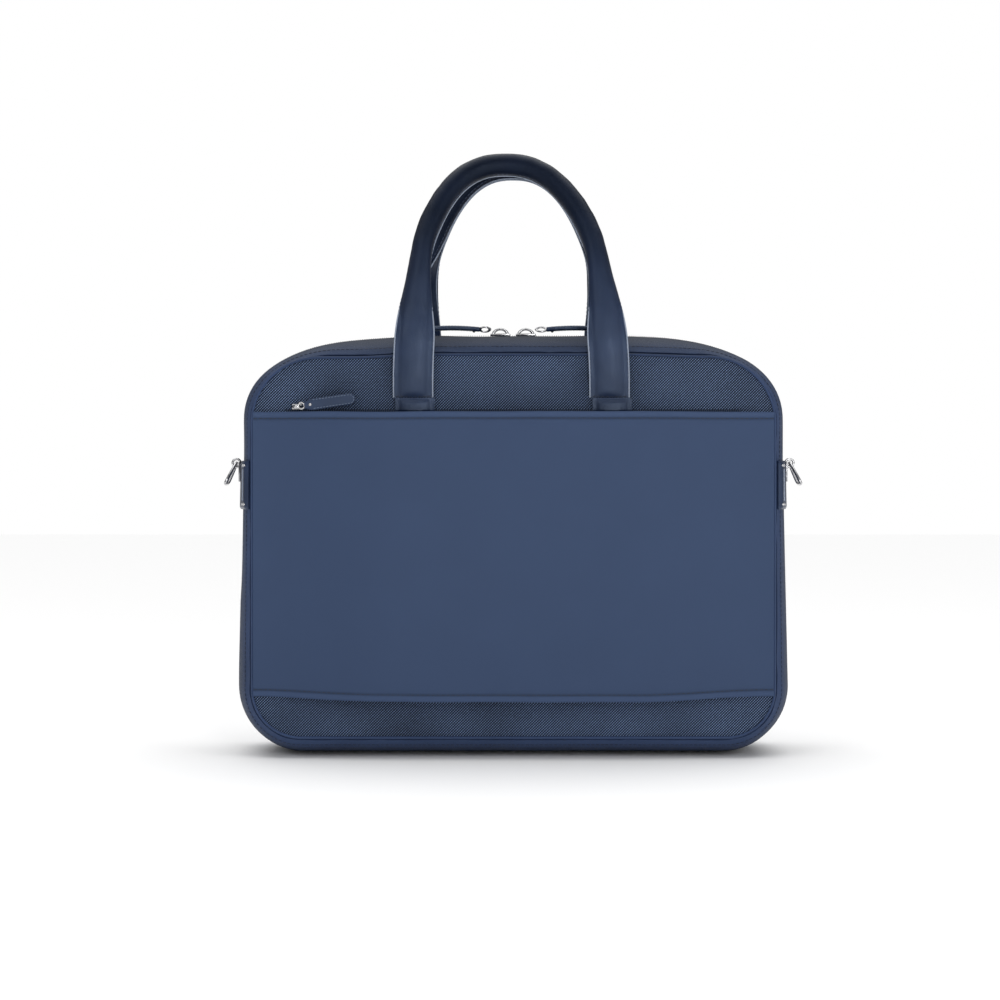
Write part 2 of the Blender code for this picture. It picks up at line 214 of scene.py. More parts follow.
def ball(size, place, segments, rings):
    """A ball of those three widths, for the head of a rivet."""
    deselect_all()
    bpy.ops.mesh.primitive_uv_sphere_add(segments=segments, ring_count=rings, radius=0.5)
    piece = bpy.context.object
    piece.scale = size
    piece.location = place
    return apply_place(piece)


def join(pieces, name):
    pick(pieces[0])
    for piece in pieces[1:]:
        piece.select_set(True)
    if len(pieces) > 1:
        bpy.ops.object.join()
    pieces[0].name = name
    return pieces[0]


def finish(piece, name, finishes, body=None):
    """Names a piece, gives it its finish, and sets it on its body."""
    piece.name = name
    piece.data.name = name
    finishes = finishes if isinstance(finishes, (list, tuple)) else [finishes]
    if len(piece.data.materials) != len(finishes):
        piece.data.materials.clear()
        for finish_material in finishes:
            piece.data.materials.append(finish_material)
    if body:
        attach(piece, body)
    return piece


# %% [markdown]
# ## Finishes
#
# Every finish is worked out from coordinates, with no picture behind it. A weave is two sets of threads
# that cross, so two sine waves give it. Leather is a field of small cells. Each has a slow change of
# tone over the whole piece as well, because no real cloth has quite one colour all over.

# %% A short way to write shader nodes
def new_finish(name, roughness, metallic=0.0):
    material = bpy.data.materials.new(name)
    material.use_nodes = True
    tree = material.node_tree
    shader = tree.nodes["Principled BSDF"]
    shader.inputs["Roughness"].default_value = roughness
    shader.inputs["Metallic"].default_value = metallic
    return material, tree, shader


def put(tree, socket, value):
    if isinstance(value, bpy.types.NodeSocket):
        tree.links.new(value, socket)
    else:
        socket.default_value = value


def calc(tree, operation, a, b=0.0, c=0.0):
    node = tree.nodes.new("ShaderNodeMath")
    node.operation = operation
    for socket, value in zip(node.inputs, (a, b, c)):
        put(tree, socket, value)
    return node.outputs[0]


def object_axes(tree):
    coordinates = tree.nodes.new("ShaderNodeTexCoord")
    split = tree.nodes.new("ShaderNodeSeparateXYZ")
    tree.links.new(coordinates.outputs["Object"], split.inputs[0])
    return coordinates.outputs["Object"], split.outputs


def cloth_axes(tree):
    """Place on the cloth itself, in metres along and across its threads."""
    uv = tree.nodes.new("ShaderNodeUVMap")
    uv.uv_map = "cloth"
    split = tree.nodes.new("ShaderNodeSeparateXYZ")
    tree.links.new(uv.outputs[0], split.inputs[0])
    return split.outputs


def grey(value):
    return (value, value, value)


def grey_ramp(tree, value, stops):
    return ramp(tree, value, [(position, grey(tone)) for position, tone in stops])


def darken(tree, colour, share):
    """A colour times a share, where the share may change from place to place."""
    return mix_colours(tree, 1.0, colour, share, "MULTIPLY")


def noise_field(tree, place, scale, detail=2.0, roughness=0.5):
    node = tree.nodes.new("ShaderNodeTexNoise")
    node.inputs["Scale"].default_value = scale
    node.inputs["Detail"].default_value = detail
    node.inputs["Roughness"].default_value = roughness
    tree.links.new(place, node.inputs["Vector"])
    return node.outputs["Fac"]


def ramp(tree, value, stops):
    node = tree.nodes.new("ShaderNodeValToRGB")
    band = node.color_ramp
    while len(band.elements) < len(stops):
        band.elements.new(0.5)
    for element, (position, colour) in zip(band.elements, stops):
        element.position = position
        element.color = (*colour, 1.0)
    tree.links.new(value, node.inputs[0])
    return node.outputs[0]


def bump(tree, shader, height, distance, strength, under=None):
    node = tree.nodes.new("ShaderNodeBump")
    node.inputs["Distance"].default_value = distance
    node.inputs["Strength"].default_value = strength
    tree.links.new(height, node.inputs["Height"])
    if under:
        tree.links.new(under, node.inputs["Normal"])
    tree.links.new(node.outputs[0], shader.inputs["Normal"])
    return node.outputs[0]


def waves(tree, value, pitch):
    return calc(tree, "SINE", calc(tree, "MULTIPLY", value, 2 * math.pi / pitch))


def tinted(tree, colour, tone, spread):
    """A colour that gets lighter and darker with tone, by that share at most."""
    low = tuple(channel * (1 - spread) for channel in colour)
    high = tuple(channel * (1 + spread) for channel in colour)
    return ramp(tree, tone, [(0.3, low), (0.7, high)])


def mix_colours(tree, share, a, b, kind="MIX"):
    node = tree.nodes.new("ShaderNodeMix")
    node.data_type = "RGBA"
    node.blend_type = kind
    put(tree, node.inputs["Factor"], share)
    for socket, value in zip((node.inputs[6], node.inputs[7]), (a, b)):
        put(tree, socket, value if isinstance(value, bpy.types.NodeSocket) else (*value, 1.0))
    return node.outputs[2]


# %% [markdown]
# ### Woven cloth of the panels
#
# The panels are a small-figured weave: a dark ground with short lighter floats on its diagonals. Two
# waves run along the two diagonals, and their product is a field of dashes that rise to the right.

# %% Woven cloth
TWILL = 0.00205
WOVEN_GROUND = (0.0032, 0.0060, 0.0140)
WOVEN_FLOATS = (0.192, 0.288, 0.505)


def make_woven_cloth():
    material, tree, shader = new_finish("woven_cloth", 0.72)
    place, (x, _, z) = object_axes(tree)
    wobble = calc(tree, "MULTIPLY", noise_field(tree, place, 60.0), 0.0006)
    lines = []
    for way in (calc(tree, "SUBTRACT", x, z), calc(tree, "ADD", x, z)):
        wave = waves(tree, calc(tree, "ADD", way, wobble), TWILL)
        lines.append(calc(tree, "MAXIMUM", calc(tree, "MULTIPLY_ADD", wave, 1.02, 0.03), 0.0))
    floats = calc(tree, "MULTIPLY", lines[0], calc(tree, "MULTIPLY_ADD", lines[1], 0.72, 0.28))
    fuzz = calc(tree, "MULTIPLY_ADD", noise_field(tree, place, 500.0, 1.0), 0.9, 0.55)
    patchy = calc(tree, "MULTIPLY_ADD", noise_field(tree, place, 17.0, 1.0), 1.5, 0.25)
    tone = noise_field(tree, place, 13.0, 3.0)
    ground = tinted(tree, WOVEN_GROUND, tone, 0.25)
    share = calc(tree, "MULTIPLY", calc(tree, "MULTIPLY", floats, fuzz), patchy)
    colour = mix_colours(tree, calc(tree, "MINIMUM", share, 1.0), ground, WOVEN_FLOATS)
    tree.links.new(colour, shader.inputs["Base Color"])
    bump(tree, shader, floats, 0.0003, 0.5)
    shader.inputs["Specular IOR Level"].default_value = 0.2
    return material


woven_cloth = make_woven_cloth()

# %% [markdown]
# ### Plain nylon of the gusset, piping and sleeve
#
# These cloths have threads too fine to count, so their weave only breaks up the gloss. The sleeve, whose
# cloth is made further down, is the smoothest of them. One recipe makes all of them, with other colours.
# Where the gusset stands out furthest, beside the zip, its colour is darkened as painted shade, and it is
# painted paler beside the seams. Painted shade also darkens its sides, and its top most, against the
# lighter underside.

# %% Plain cloths
def make_plain_cloth(name, colour, roughness, thread, spread, gloss=0.3, hems=None, crest_shade=None):
    """Hems give the full length across and the hem's width: the hem is painted paler as a painted highlight,
    with painted shade at its folded edge and along the groove of its seam.
    Crest shade is the share of its colour that the cloth keeps where it stands out furthest, as painted
    shade."""
    material, tree, shader = new_finish(name, roughness)
    along, across, _ = cloth_axes(tree)
    place, (_, deep, height) = object_axes(tree)
    weave = calc(tree, "MULTIPLY", waves(tree, along, thread), waves(tree, across, thread))
    soft = noise_field(tree, place, 22.0, 4.0)
    fine = noise_field(tree, place, 1500.0, 1.0)
    tone = calc(tree, "ADD", calc(tree, "MULTIPLY", soft, 0.75), calc(tree, "MULTIPLY", fine, 0.25))
    shade = tinted(tree, colour, tone, spread)
    # painted highlight over the hem, painted shade at its folded edge and in the groove of its stitched seam
    if hems:
        full, width = hems
        edge = calc(tree, "MINIMUM", across, calc(tree, "SUBTRACT", full, across))
        hem_edge_share = calc(tree, "DIVIDE", edge, full / 2)
        mark = width / (full / 2)
        stops = [(0.0, 0.85), (mark * 0.3, 1.16), (mark * 0.75, 1.08), (mark, 0.60), (mark * 1.40, 1.0)]
        shade = darken(tree, shade, grey_ramp(tree, hem_edge_share, stops))
    # painted shade: darkest where the gusset stands out furthest, painted paler beside the seams
    if crest_shade:
        from_middle = calc(tree, "DIVIDE", calc(tree, "SUBTRACT", deep, MID), HALF_DEPTH)
        seam_share = calc(tree, "ABSOLUTE", from_middle)
        fade = grey_ramp(tree, seam_share, [(0.35, crest_shade), (0.80, 0.78), (0.95, 1.10)])
        shade = darken(tree, shade, fade)
        # painted shade on the sides and more over the top, leaving the underside lighter
        painted_height_shade = [(0.0, 1.0), (0.06, 0.64), (0.90, 0.64), (0.97, 0.34)]
        shade = darken(tree, shade, grey_ramp(tree, calc(tree, "DIVIDE", height, TOP), painted_height_shade))
    tree.links.new(shade, shader.inputs["Base Color"])
    relief = calc(tree, "ADD", calc(tree, "MULTIPLY", weave, 0.5), calc(tree, "MULTIPLY", fine, 0.5))
    fine_bump = bump(tree, shader, relief, 0.00012, 0.5)
    bump(tree, shader, soft, 0.0016, 0.35, under=fine_bump)
    shader.inputs["Specular IOR Level"].default_value = gloss
    shader.inputs["Specular Tint"].default_value = (0.60, 0.75, 1.0, 1.0)
    return material


SMOOTH_COLOUR = (0.0420, 0.0680, 0.1500)
LINING_COLOUR = (0.090, 0.105, 0.150)
TAPE_COLOUR = (0.0150, 0.0230, 0.0460)
# the gusset's smooth cloth carries painted shade at its crest, sides and top
smooth_cloth = make_plain_cloth("smooth_cloth", SMOOTH_COLOUR, 0.60, 0.0007, 0.14, crest_shade=0.30)
lining_cloth = make_plain_cloth("lining_cloth", LINING_COLOUR, 0.60, 0.0010, 0.06)
zip_tape_cloth = make_plain_cloth("zip_tape_cloth", TAPE_COLOUR, 0.80, 0.0012, 0.10)

# %% [markdown]
# ### Leather, thread, metal and the small plastics
#
# Smooth leather has a grain of tiny cells with creases between them and a soft gloss. Towards the grips its
# colour is darkened as painted shade, and its gloss is turned down. Its edges get a thin pale bead, and the
# same pale finish along a tab's fold is a painted highlight. Nickel plate is nearly a mirror, so its small
# scratches and smudges do the work.

# %% Leather
def make_leather():
    material, tree, shader = new_finish("leather", 0.42)
    place, (_, _, height) = object_axes(tree)
    cells = tree.nodes.new("ShaderNodeTexVoronoi")
    cells.feature = "DISTANCE_TO_EDGE"
    cells.inputs["Scale"].default_value = 1300.0
    tree.links.new(place, cells.inputs["Vector"])
    grain = calc(tree, "MINIMUM", calc(tree, "MULTIPLY", cells.outputs["Distance"], 5.0), 1.0)
    creases = noise_field(tree, place, 75.0, 5.0, 0.6)
    tone = noise_field(tree, place, 28.0, 3.0)
    colour = tinted(tree, (0.0095, 0.0180, 0.0470), tone, 0.22)
    # painted shade: the colour darkens above the bag towards the grips, and the gloss drops with it
    height_over_bag = calc(tree, "DIVIDE", calc(tree, "SUBTRACT", height, TOP), 0.120)
    grip_painted_shade = grey_ramp(tree, height_over_bag, [(0.05, 1.0), (0.75, 0.30)])
    tree.links.new(darken(tree, colour, grip_painted_shade), shader.inputs["Base Color"])
    tree.links.new(calc(tree, "MULTIPLY", grip_painted_shade, 0.56), shader.inputs["Specular IOR Level"])
    shader.inputs["Specular Tint"].default_value = (0.62, 0.76, 1.0, 1.0)
    gloss = grey_ramp(tree, creases, [(0.3, 0.28), (0.7, 0.40)])
    tree.links.new(gloss, shader.inputs["Roughness"])
    fine = bump(tree, shader, grain, 0.00010, 0.45)
    bump(tree, shader, creases, 0.0006, 0.35, under=fine)
    return material


leather = make_leather()


# %% Metal, thread, coil and board
def make_metal():
    material, tree, shader = new_finish("nickel", 0.16, 1.0)
    place, _ = object_axes(tree)
    smudges = noise_field(tree, place, 260.0, 4.0)
    tree.links.new(tinted(tree, (0.50, 0.50, 0.51), smudges, 0.08), shader.inputs["Base Color"])
    gloss = grey_ramp(tree, smudges, [(0.35, 0.11), (0.7, 0.26)])
    tree.links.new(gloss, shader.inputs["Roughness"])
    bump(tree, shader, noise_field(tree, place, 900.0, 2.0), 0.00001, 0.3)
    return material


def make_grained(name, colour, roughness, scale, depth, spread=0.12):
    material, tree, shader = new_finish(name, roughness)
    place, _ = object_axes(tree)
    grain = noise_field(tree, place, scale, 3.0)
    tree.links.new(tinted(tree, colour, grain, spread), shader.inputs["Base Color"])
    bump(tree, shader, grain, depth, 0.6)
    return material


metal = make_metal()
thread = make_grained("thread", (0.030, 0.045, 0.085), 0.65, 2600.0, 0.00010)
dark_thread = make_grained("dark_thread", (0.010, 0.014, 0.030), 0.65, 2600.0, 0.00010)
# pale finish for the handles' edge beads, and a painted highlight along the side tabs' folds
pale_edge_and_highlight = make_grained("pale_edge_and_highlight", (0.230, 0.270, 0.350), 0.30, 900.0, 0.00005)
pale_thread = make_grained("pale_thread", (0.110, 0.150, 0.220), 0.60, 2600.0, 0.00010)
coil_plastic = make_grained("coil_plastic", (0.014, 0.021, 0.040), 0.38, 900.0, 0.00004)
board = make_grained("board", (0.030, 0.030, 0.034), 0.60, 700.0, 0.0002)

# %% [markdown]
# ## The outline of the bag
#
# Seen from the back, every seam of the bag is much the same rounded rectangle, drawn further in or out.
# The gusset stands out furthest halfway between the panels, and it tapers a little towards the top. Its
# upper corners hang lower and rounder than the corners of the panels, because nothing stiff is in them.

# %% Outline
CORNER_STEPS, SIDE_STEPS, RUN_STEPS = 24, 16, 26


def ease(t):
    t = min(1.0, max(0.0, t))
    return t * t * (3 - 2 * t)


def straight(a, b, steps):
    return [(a[0] + (b[0] - a[0]) * i / steps, a[1] + (b[1] - a[1]) * i / steps) for i in range(steps)]


def corner(centre, radius, start):
    """A quarter turn from that angle in degrees, without its last point."""
    points = []
    for i in range(CORNER_STEPS):
        angle = math.radians(start + 90 * i / CORNER_STEPS)
        points.append((centre[0] + radius * math.cos(angle), centre[1] + radius * math.sin(angle)))
    return points


def taper(inset):
    return TAPER * max(0.0, 1 - inset / BULGE)


def shoulder(inset):
    """Width, height and squareness of an upper corner."""
    share = min(1.0, max(0.0, inset / BULGE))
    return 0.105 - 0.057 * share, 0.064 - 0.016 * share, 2.3 - 0.3 * share


def crown(x, z):
    """How far the top hangs below its middle."""
    left, right = ease((-x - 0.060) / 0.060), ease((x - 0.080) / 0.060)
    return (0.0026 * left + 0.0018 * right) * max(0.0, z - ZIP_END) / (TOP - ZIP_END)


def upper_line(inset):
    """From the right side over the top to the left side."""
    half = HALF - inset - taper(inset)
    top = TOP - inset - 0.0018 * min(1.0, max(0.0, inset / BULGE))
    wide, tall, squareness = shoulder(inset)
    knee = top - tall
    bend = []
    for i in range(CORNER_STEPS):
        angle = math.pi / 2 * i / CORNER_STEPS
        reach, rise = math.cos(angle) ** (2 / squareness), math.sin(angle) ** (2 / squareness)
        bend.append((half - wide + wide * reach, knee + tall * rise))
    points = straight((half, ZIP_END), (half, knee), 6) + bend
    points += straight((half - wide, top), (wide - half, top), 2 * RUN_STEPS) + [(wide - half, top)]
    points += [(-x, z) for x, z in reversed(bend)]
    points += straight((-half, knee), (-half, ZIP_END), 6)[1:] + [(-half, ZIP_END)]
    return [(x, z - crown(x, z)) for x, z in points]


def lower_line(inset, high=ZIP_END):
    """From the left side under the bottom to the right side."""
    half, bottom, radius = HALF - inset, inset, BOTTOM_RADIUS - inset
    top_half = half - taper(inset)
    knee = bottom + radius
    points = straight((-top_half, high), (-half, knee), SIDE_STEPS)
    points += corner((radius - half, knee), radius, 180)
    points += straight((radius - half, bottom), (half - radius, bottom), 2 * RUN_STEPS)
    points += corner((half - radius, knee), radius, 270)
    points += straight((half, knee), (top_half, high), SIDE_STEPS) + [(top_half, high)]
    return points


def whole_line(inset):
    return lower_line(inset)[:-1] + upper_line(inset)[:-1]


def gusset_inset(y):
    """How far the cloth of the gusset lies inside its widest line at depth y."""
    share = abs(y - MID) / HALF_DEPTH
    t = min(1.0, max(0.0, (share - FLAT_SHARE) / (1 - FLAT_SHARE)))
    return BULGE * (1 - math.sqrt(1 - t * t))


# %% [markdown]
# ## Cloth from a grid
#
# A flat grid is the plainest primitive there is, and cloth is a grid of threads. So each piece of cloth
# starts as a grid, and every crossing is then moved to its place on the bag. The grid's own columns and
# rows, measured in metres, become the cloth's coordinates, so that the weave follows the cloth.

# %% Cloth grid
def cloth_grid(name, columns, rows, place):
    """A grid whose crossing (i, j) is moved to place(i, j), and its length along and across in metres."""
    deselect_all()
    bpy.ops.mesh.primitive_grid_add(x_subdivisions=columns, y_subdivisions=rows, size=1.0)
    piece = bpy.context.object
    piece.name = name
    mesh = piece.data
    cells = [(round((v.co.x + 0.5) * columns), round((v.co.y + 0.5) * rows)) for v in mesh.vertices]
    for vertex, (i, j) in zip(mesh.vertices, cells):
        vertex.co = place(i, j)
    along = running_length([Vector(place(i, rows // 2)) for i in range(columns + 1)])
    across = running_length([Vector(place(columns // 2, j)) for j in range(rows + 1)])
    layer = mesh.uv_layers.active or mesh.uv_layers.new()
    layer.name = "cloth"
    for corner_of_face in mesh.loops:
        i, j = cells[corner_of_face.vertex_index]
        layer.data[corner_of_face.index].uv = (along[i], across[j])
    return piece, along[-1], across[-1]


def running_length(points):
    lengths = [0.0]
    for a, b in zip(points, points[1:]):
        lengths.append(lengths[-1] + (b - a).length)
    return lengths


def turn_outwards(piece, centre):
    """Flips the cloth if it faces the middle of the bag."""
    facing = sum(face.normal.dot(face.center - centre) for face in piece.data.polygons)
    return flip(piece) if facing < 0 else piece


def thicken(piece, thickness, degrees, clean=False, **settings):
    """Turns a sheet outwards, makes it thick on its inner side and smooths it."""
    turn_outwards(piece, BAG_CENTRE)
    add_modifier(piece, "SOLIDIFY", thickness=thickness, offset=-1.0, **settings)
    apply_modifiers(piece)
    if clean:
        recalculate(piece)
    return smooth(piece, degrees)


def pucker(point, edge_distance, size, seed=0.0):
    """Small folds beside a seam, which fade out away from it."""
    near = math.exp(-edge_distance / 0.006)
    wave = noise.noise(Vector(point) * 95 + Vector((seed, 0, 0)))
    slow = noise.noise(Vector(point) * 22 + Vector((0, seed, 0)))
    return size * (wave * near + 0.8 * slow * (1 - near))


BAG_CENTRE = Vector((0.0, MID, TOP / 2))
CLOTH_T = 0.0016

# %% [markdown]
# ## The gusset
#
# The gusset is the long strip that joins the back to the front. Its lower length runs down one side,
# under the bottom and up the other. Its upper length is split by the main zip. Both swell outwards
# between the panels, and the seams pull small folds into them. The folds fade out close to the ground,
# where the bag's own weight presses the cloth smooth.

# %% Gusset strips
def gusset_strip(name, line, y_start, y_end, rows, seed):
    """One strip of the gusset between two depths, pushed in and out a little by its folds."""
    depths = [y_start + (y_end - y_start) * j / rows for j in range(rows + 1)]
    lines = [line(gusset_inset(y)) for y in depths]

    def place(i, j):
        x, z = lines[j][i]
        point = Vector((x, depths[j], z))
        seam_gap = HALF_DEPTH - abs(depths[j] - MID)
        outward = Vector((x, 0.0, z - TOP / 2)).normalized()
        standing = min(1.0, z / 0.012)
        fold = min(0.0, pucker(point, seam_gap, 0.0011, seed) - 0.0001)
        return point + outward * fold * standing

    piece, along, across = cloth_grid(name, len(lines[0]) - 1, rows, place)
    piece.data.materials.append(smooth_cloth)
    piece.data.materials.append(lining_cloth)
    thicken(piece, CLOTH_T, 60, material_offset=1)
    return piece, along, across


SEAM_IN = 0.0006
lower_gusset, lower_along, lower_across = gusset_strip(
    "lower_gusset_cloth", lower_line, REAR + SEAM_IN, FRONT - SEAM_IN, 28, 1.0
)
finish(lower_gusset, "lower_gusset_cloth", [smooth_cloth, lining_cloth], "bag")
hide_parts("lower_gusset", "gusset_lining")

ZIP_HALF = ZIP_Y - tape_low.y
rear_top, rear_along, rear_across = gusset_strip(
    "rear_top_gusset_cloth", upper_line, REAR + SEAM_IN, ZIP_Y - ZIP_HALF, 14, 2.0
)
finish(rear_top, "rear_top_gusset_cloth", [smooth_cloth, lining_cloth], "bag")
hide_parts("rear_top_gusset")

front_top, front_along, front_across = gusset_strip(
    "front_top_gusset_cloth", upper_line, ZIP_Y + ZIP_HALF, FRONT - SEAM_IN, 14, 3.0
)
finish(front_top, "front_top_gusset_cloth", [smooth_cloth, lining_cloth])
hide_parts("front_top_gusset")
print(f"lower gusset cut {lower_along:.3f} by {lower_across:.3f} m")

# %% [markdown]
# The front of the bag folds out when the zip is open. The cloth that crosses the fold stays with the bag
# below it and goes with the flap above it, and it bends in between.

# %% Fold of the mouth
def bend_with_mouth(piece, below=-0.012, above=0.030):
    """Bends a piece between those heights, measured from the end of the zip."""
    start, end = (0.0, FRONT, ZIP_END + below), (0.0, FRONT, ZIP_END + above)
    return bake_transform(piece, "bag", "mouth_flap", start=start, end=end)


bend_with_mouth(front_top, 0.0, 0.045)

# %% [markdown]
# ## The panels
#
# Back and front are padded panels: an outer cloth, a sheet of foam and a lining, sewn together round the
# edge. Rings of points run from the seam to the middle, the outer face swells a little between the seam
# and the middle, and the lining closes the back of it.

# %% Padded panels
PANEL_T = 0.0078
RINGS = 26


def padded_panel(face, out, finishes, seed):
    """A padded panel whose outer face looks along out, -1 to the rear and +1 to the front."""
    line = whole_line(BULGE)
    count = len(line)
    middle = (0.0, (SEAM_LOW + SEAM_HIGH) / 2)
    bpy.ops.mesh.primitive_circle_add(vertices=count, radius=1.0, fill_type="NOTHING")
    piece = bpy.context.object
    mesh = bmesh.new()
    rings = []
    for side in (1, -1):
        for k in range(RINGS + 1):
            share = max(1 - (k / RINGS) ** 1.15, 0.02)
            ring = []
            for x, z in line:
                px, pz = middle[0] + (x - middle[0]) * share, middle[1] + (z - middle[1]) * share
                edge = (1 - share) * 0.14
                swell = 1 - math.exp(-edge / 0.004)
                fold = pucker((px, seed, pz), edge, 0.0007, seed) * swell
                depth = PANEL_T / 2 * (0.86 + 0.14 * swell) + (fold if side == 1 else 0.0)
                y = face - out * PANEL_T / 2 + out * side * max(0.0008, depth)
                ring.append(mesh.verts.new((px, y, pz)))
            rings.append(ring)
    front_rings, back_rings = rings[: RINGS + 1], rings[RINGS + 1 :]
    for group, slot_index in ((front_rings, 0), (back_rings, 1)):
        for a, b in zip(group, group[1:]):
            for i in range(count):
                made = mesh.faces.new((a[i], a[(i + 1) % count], b[(i + 1) % count], b[i]))
                made.material_index = slot_index
        mesh.faces.new(group[-1]).material_index = slot_index
    for i in range(count):
        j = (i + 1) % count
        mesh.faces.new((front_rings[0][i], back_rings[0][i], back_rings[0][j], front_rings[0][j]))
    bmesh.ops.recalc_face_normals(mesh, faces=mesh.faces)
    mesh.to_mesh(piece.data)
    mesh.free()
    piece.data.uv_layers.new(name="cloth")
    for corner_of_face in piece.data.loops:
        point = piece.data.vertices[corner_of_face.vertex_index].co
        piece.data.uv_layers["cloth"].data[corner_of_face.index].uv = (point.x, point.z)
    for finish_material in finishes:
        piece.data.materials.append(finish_material)
    smooth(piece, 50)
    return piece


deselect_all()
rear_panel = padded_panel(REAR, -1, [woven_cloth, lining_cloth], 5.0)
finish(rear_panel, "rear_panel_cloth", [woven_cloth, lining_cloth], "bag")
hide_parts("rear_panel", "rear_foam", "rear_lining")
front_panel = padded_panel(FRONT, 1, [woven_cloth, lining_cloth], 9.0)
finish(front_panel, "front_panel_cloth", [woven_cloth, lining_cloth])
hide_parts("front_panel_lower", "front_panel_upper", "front_foam_lower")
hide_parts("front_foam_upper", "front_lining_lower", "front_lining_upper")
bend_with_mouth(front_panel)

# %% [markdown]
# ## Thread, cord and teeth
#
# A stitch is a grain of thread, a zip tooth is a bent grain of plastic, and both are made once and then
# laid along a line. A cord or a wire is a line with a round section.

# %% Lines and copies along them
def round_line(name, points, radius, closed=False, sides=3):
    """A cord or wire of round section along those points."""
    curve = bpy.data.curves.new(name, "CURVE")
    curve.dimensions = "3D"
    curve.bevel_depth = radius
    curve.bevel_resolution = sides
    curve.use_fill_caps = not closed
    line = curve.splines.new("POLY")
    line.points.add(len(points) - 1)
    line.points.foreach_set("co", [value for p in points for value in (*p, 1.0)])
    line.use_cyclic_u = closed
    piece = bpy.data.objects.new(name, curve)
    bpy.context.collection.objects.link(piece)
    pick(piece)
    bpy.ops.object.convert(target="MESH")
    return smooth(bpy.context.object, 60)


def stations(path, pitch):
    """Points at even steps along a path, each with the way that the path runs there."""
    path = [Vector(p) for p in path]
    lengths = running_length(path)
    count = max(1, int(lengths[-1] / pitch))
    found, k = [], 0
    for i in range(count):
        goal = lengths[-1] * (i + 0.5) / count
        while lengths[k + 1] < goal:
            k += 1
        a, b = path[k], path[k + 1]
        share = (goal - lengths[k]) / max(1e-9, lengths[k + 1] - lengths[k])
        found.append((a.lerp(b, share), (b - a).normalized()))
    return found


def copies_along(name, grain, path, pitch, up):
    """Copies of a grain, whose length is its X, along a path; up gives the way out at a place."""
    points, faces = [], []
    shape = [v.co.copy() for v in grain.data.vertices]
    polygons = [tuple(p.vertices) for p in grain.data.polygons]
    for place, along in stations(path, pitch):
        out = up(place) if callable(up) else Vector(up)
        side = out.cross(along).normalized()
        turn = Matrix((along, side, along.cross(side))).transposed()
        start = len(points)
        points += [place + turn @ p for p in shape]
        faces += [tuple(start + i for i in polygon) for polygon in polygons]
    piece = mesh_object(name, points, faces)
    piece.data.shade_smooth()
    return piece


def grain(name, length, width, height):
    """A rounded grain lying along X."""
    deselect_all()
    bpy.ops.mesh.primitive_uv_sphere_add(segments=6, ring_count=6, radius=0.5)
    piece = bpy.context.object
    piece.name = name
    piece.rotation_euler.y = math.pi / 2
    apply_place(piece)
    piece.scale = (length, width, height)
    return apply_place(piece)


STITCH_PITCH = 0.0034
stitch_grain = grain("stitch", 0.0027, 0.00062, 0.0005)


def stitches(name, path, up, pitch=STITCH_PITCH):
    return copies_along(name, stitch_grain, path, pitch, up)


# %% [markdown]
# ## Seam cord
#
# A thin cord in cloth is sewn into the seam between each panel and the gusset. It keeps the edge of the
# bag round and hides the stitches. One closed line round each panel gives it.

# %% Seam cords
def seam_cord(name, y):
    points = []
    for x, z in whole_line(BULGE - 0.0002):
        wobble = 0.00025 * noise.noise(Vector((x * 60, y * 10, z * 60)))
        points.append((x, y + wobble, z))
    piece = round_line(name, points, CORD, closed=True, sides=4)
    return finish(piece, name, smooth_cloth)


rear_cord = seam_cord("rear_seam_cord", REAR - CORD * 0.2)
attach(rear_cord, "bag")
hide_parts("rear_piping")
front_cord = seam_cord("front_seam_cord", FRONT + CORD * 0.2)
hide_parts("front_piping_lower", "front_piping_upper")
bend_with_mouth(front_cord)

# %% [markdown]
# ## Seam stitches on the gusset
#
# Next to each seam cord the gusset is stitched down once more, a few millimetres in. The row follows the
# gusset's own curve at that depth.

# %% Seam stitches
def gusset_row(name, line, y, body):
    path = [Vector((x, y, z)) for x, z in line(gusset_inset(y))]
    steep = (gusset_inset(y + 0.0005) - gusset_inset(y - 0.0005)) / 0.001

    def out(place):
        outward = Vector((place.x * 0.62, 0.0, place.z - TOP / 2))
        if abs(place.x) > SEAM_HALF - 0.004:
            outward.z *= 0.15
        return Vector((outward.normalized().x, steep, outward.normalized().z)).normalized()

    finish(stitches(name, path, out), name, dark_thread, body)


ROW_IN = 0.0042
gusset_row("rear_gusset_stitches_low", lower_line, REAR + ROW_IN, "bag")
gusset_row("rear_gusset_stitches_top", upper_line, REAR + ROW_IN, "bag")
gusset_row("front_gusset_stitches_low", lower_line, FRONT - ROW_IN, "bag")
gusset_row("front_gusset_stitches_top", upper_line, FRONT - ROW_IN, "mouth_flap")

# %% [markdown]
# ## Main zip
#
# Each half of the zip is a woven tape with a coil of plastic along its edge. The coil's loops come up
# over the edge of the tape, so each tooth is half a ring. The two coils meet in the middle of the top.

# %% Main zip
def zip_tape(name, y_start, y_end, body, node):
    def place(i, j):
        y = y_start + (y_end - y_start) * j / 5
        x, z = upper_line(gusset_inset(y) + 0.0008)[i]
        return Vector((x, y, z))

    piece, _, _ = cloth_grid(name, len(upper_line(0.0)) - 1, 5, place)
    thicken(piece, 0.0007, 60)
    finish(piece, name, zip_tape_cloth, body)
    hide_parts(node)


COIL, TOOTH_PITCH = 0.0021, 0.00165
TAPE_GAP, TAPE_UNDER = 0.0003, ZIP_HALF + 0.0008
zip_tape("rear_zip_tape_cloth", ZIP_Y - TAPE_UNDER, ZIP_Y - TAPE_GAP, "bag", "rear_zip_tape")
zip_tape("front_zip_tape_cloth", ZIP_Y + TAPE_GAP, ZIP_Y + TAPE_UNDER, "mouth_flap", "front_zip_tape")


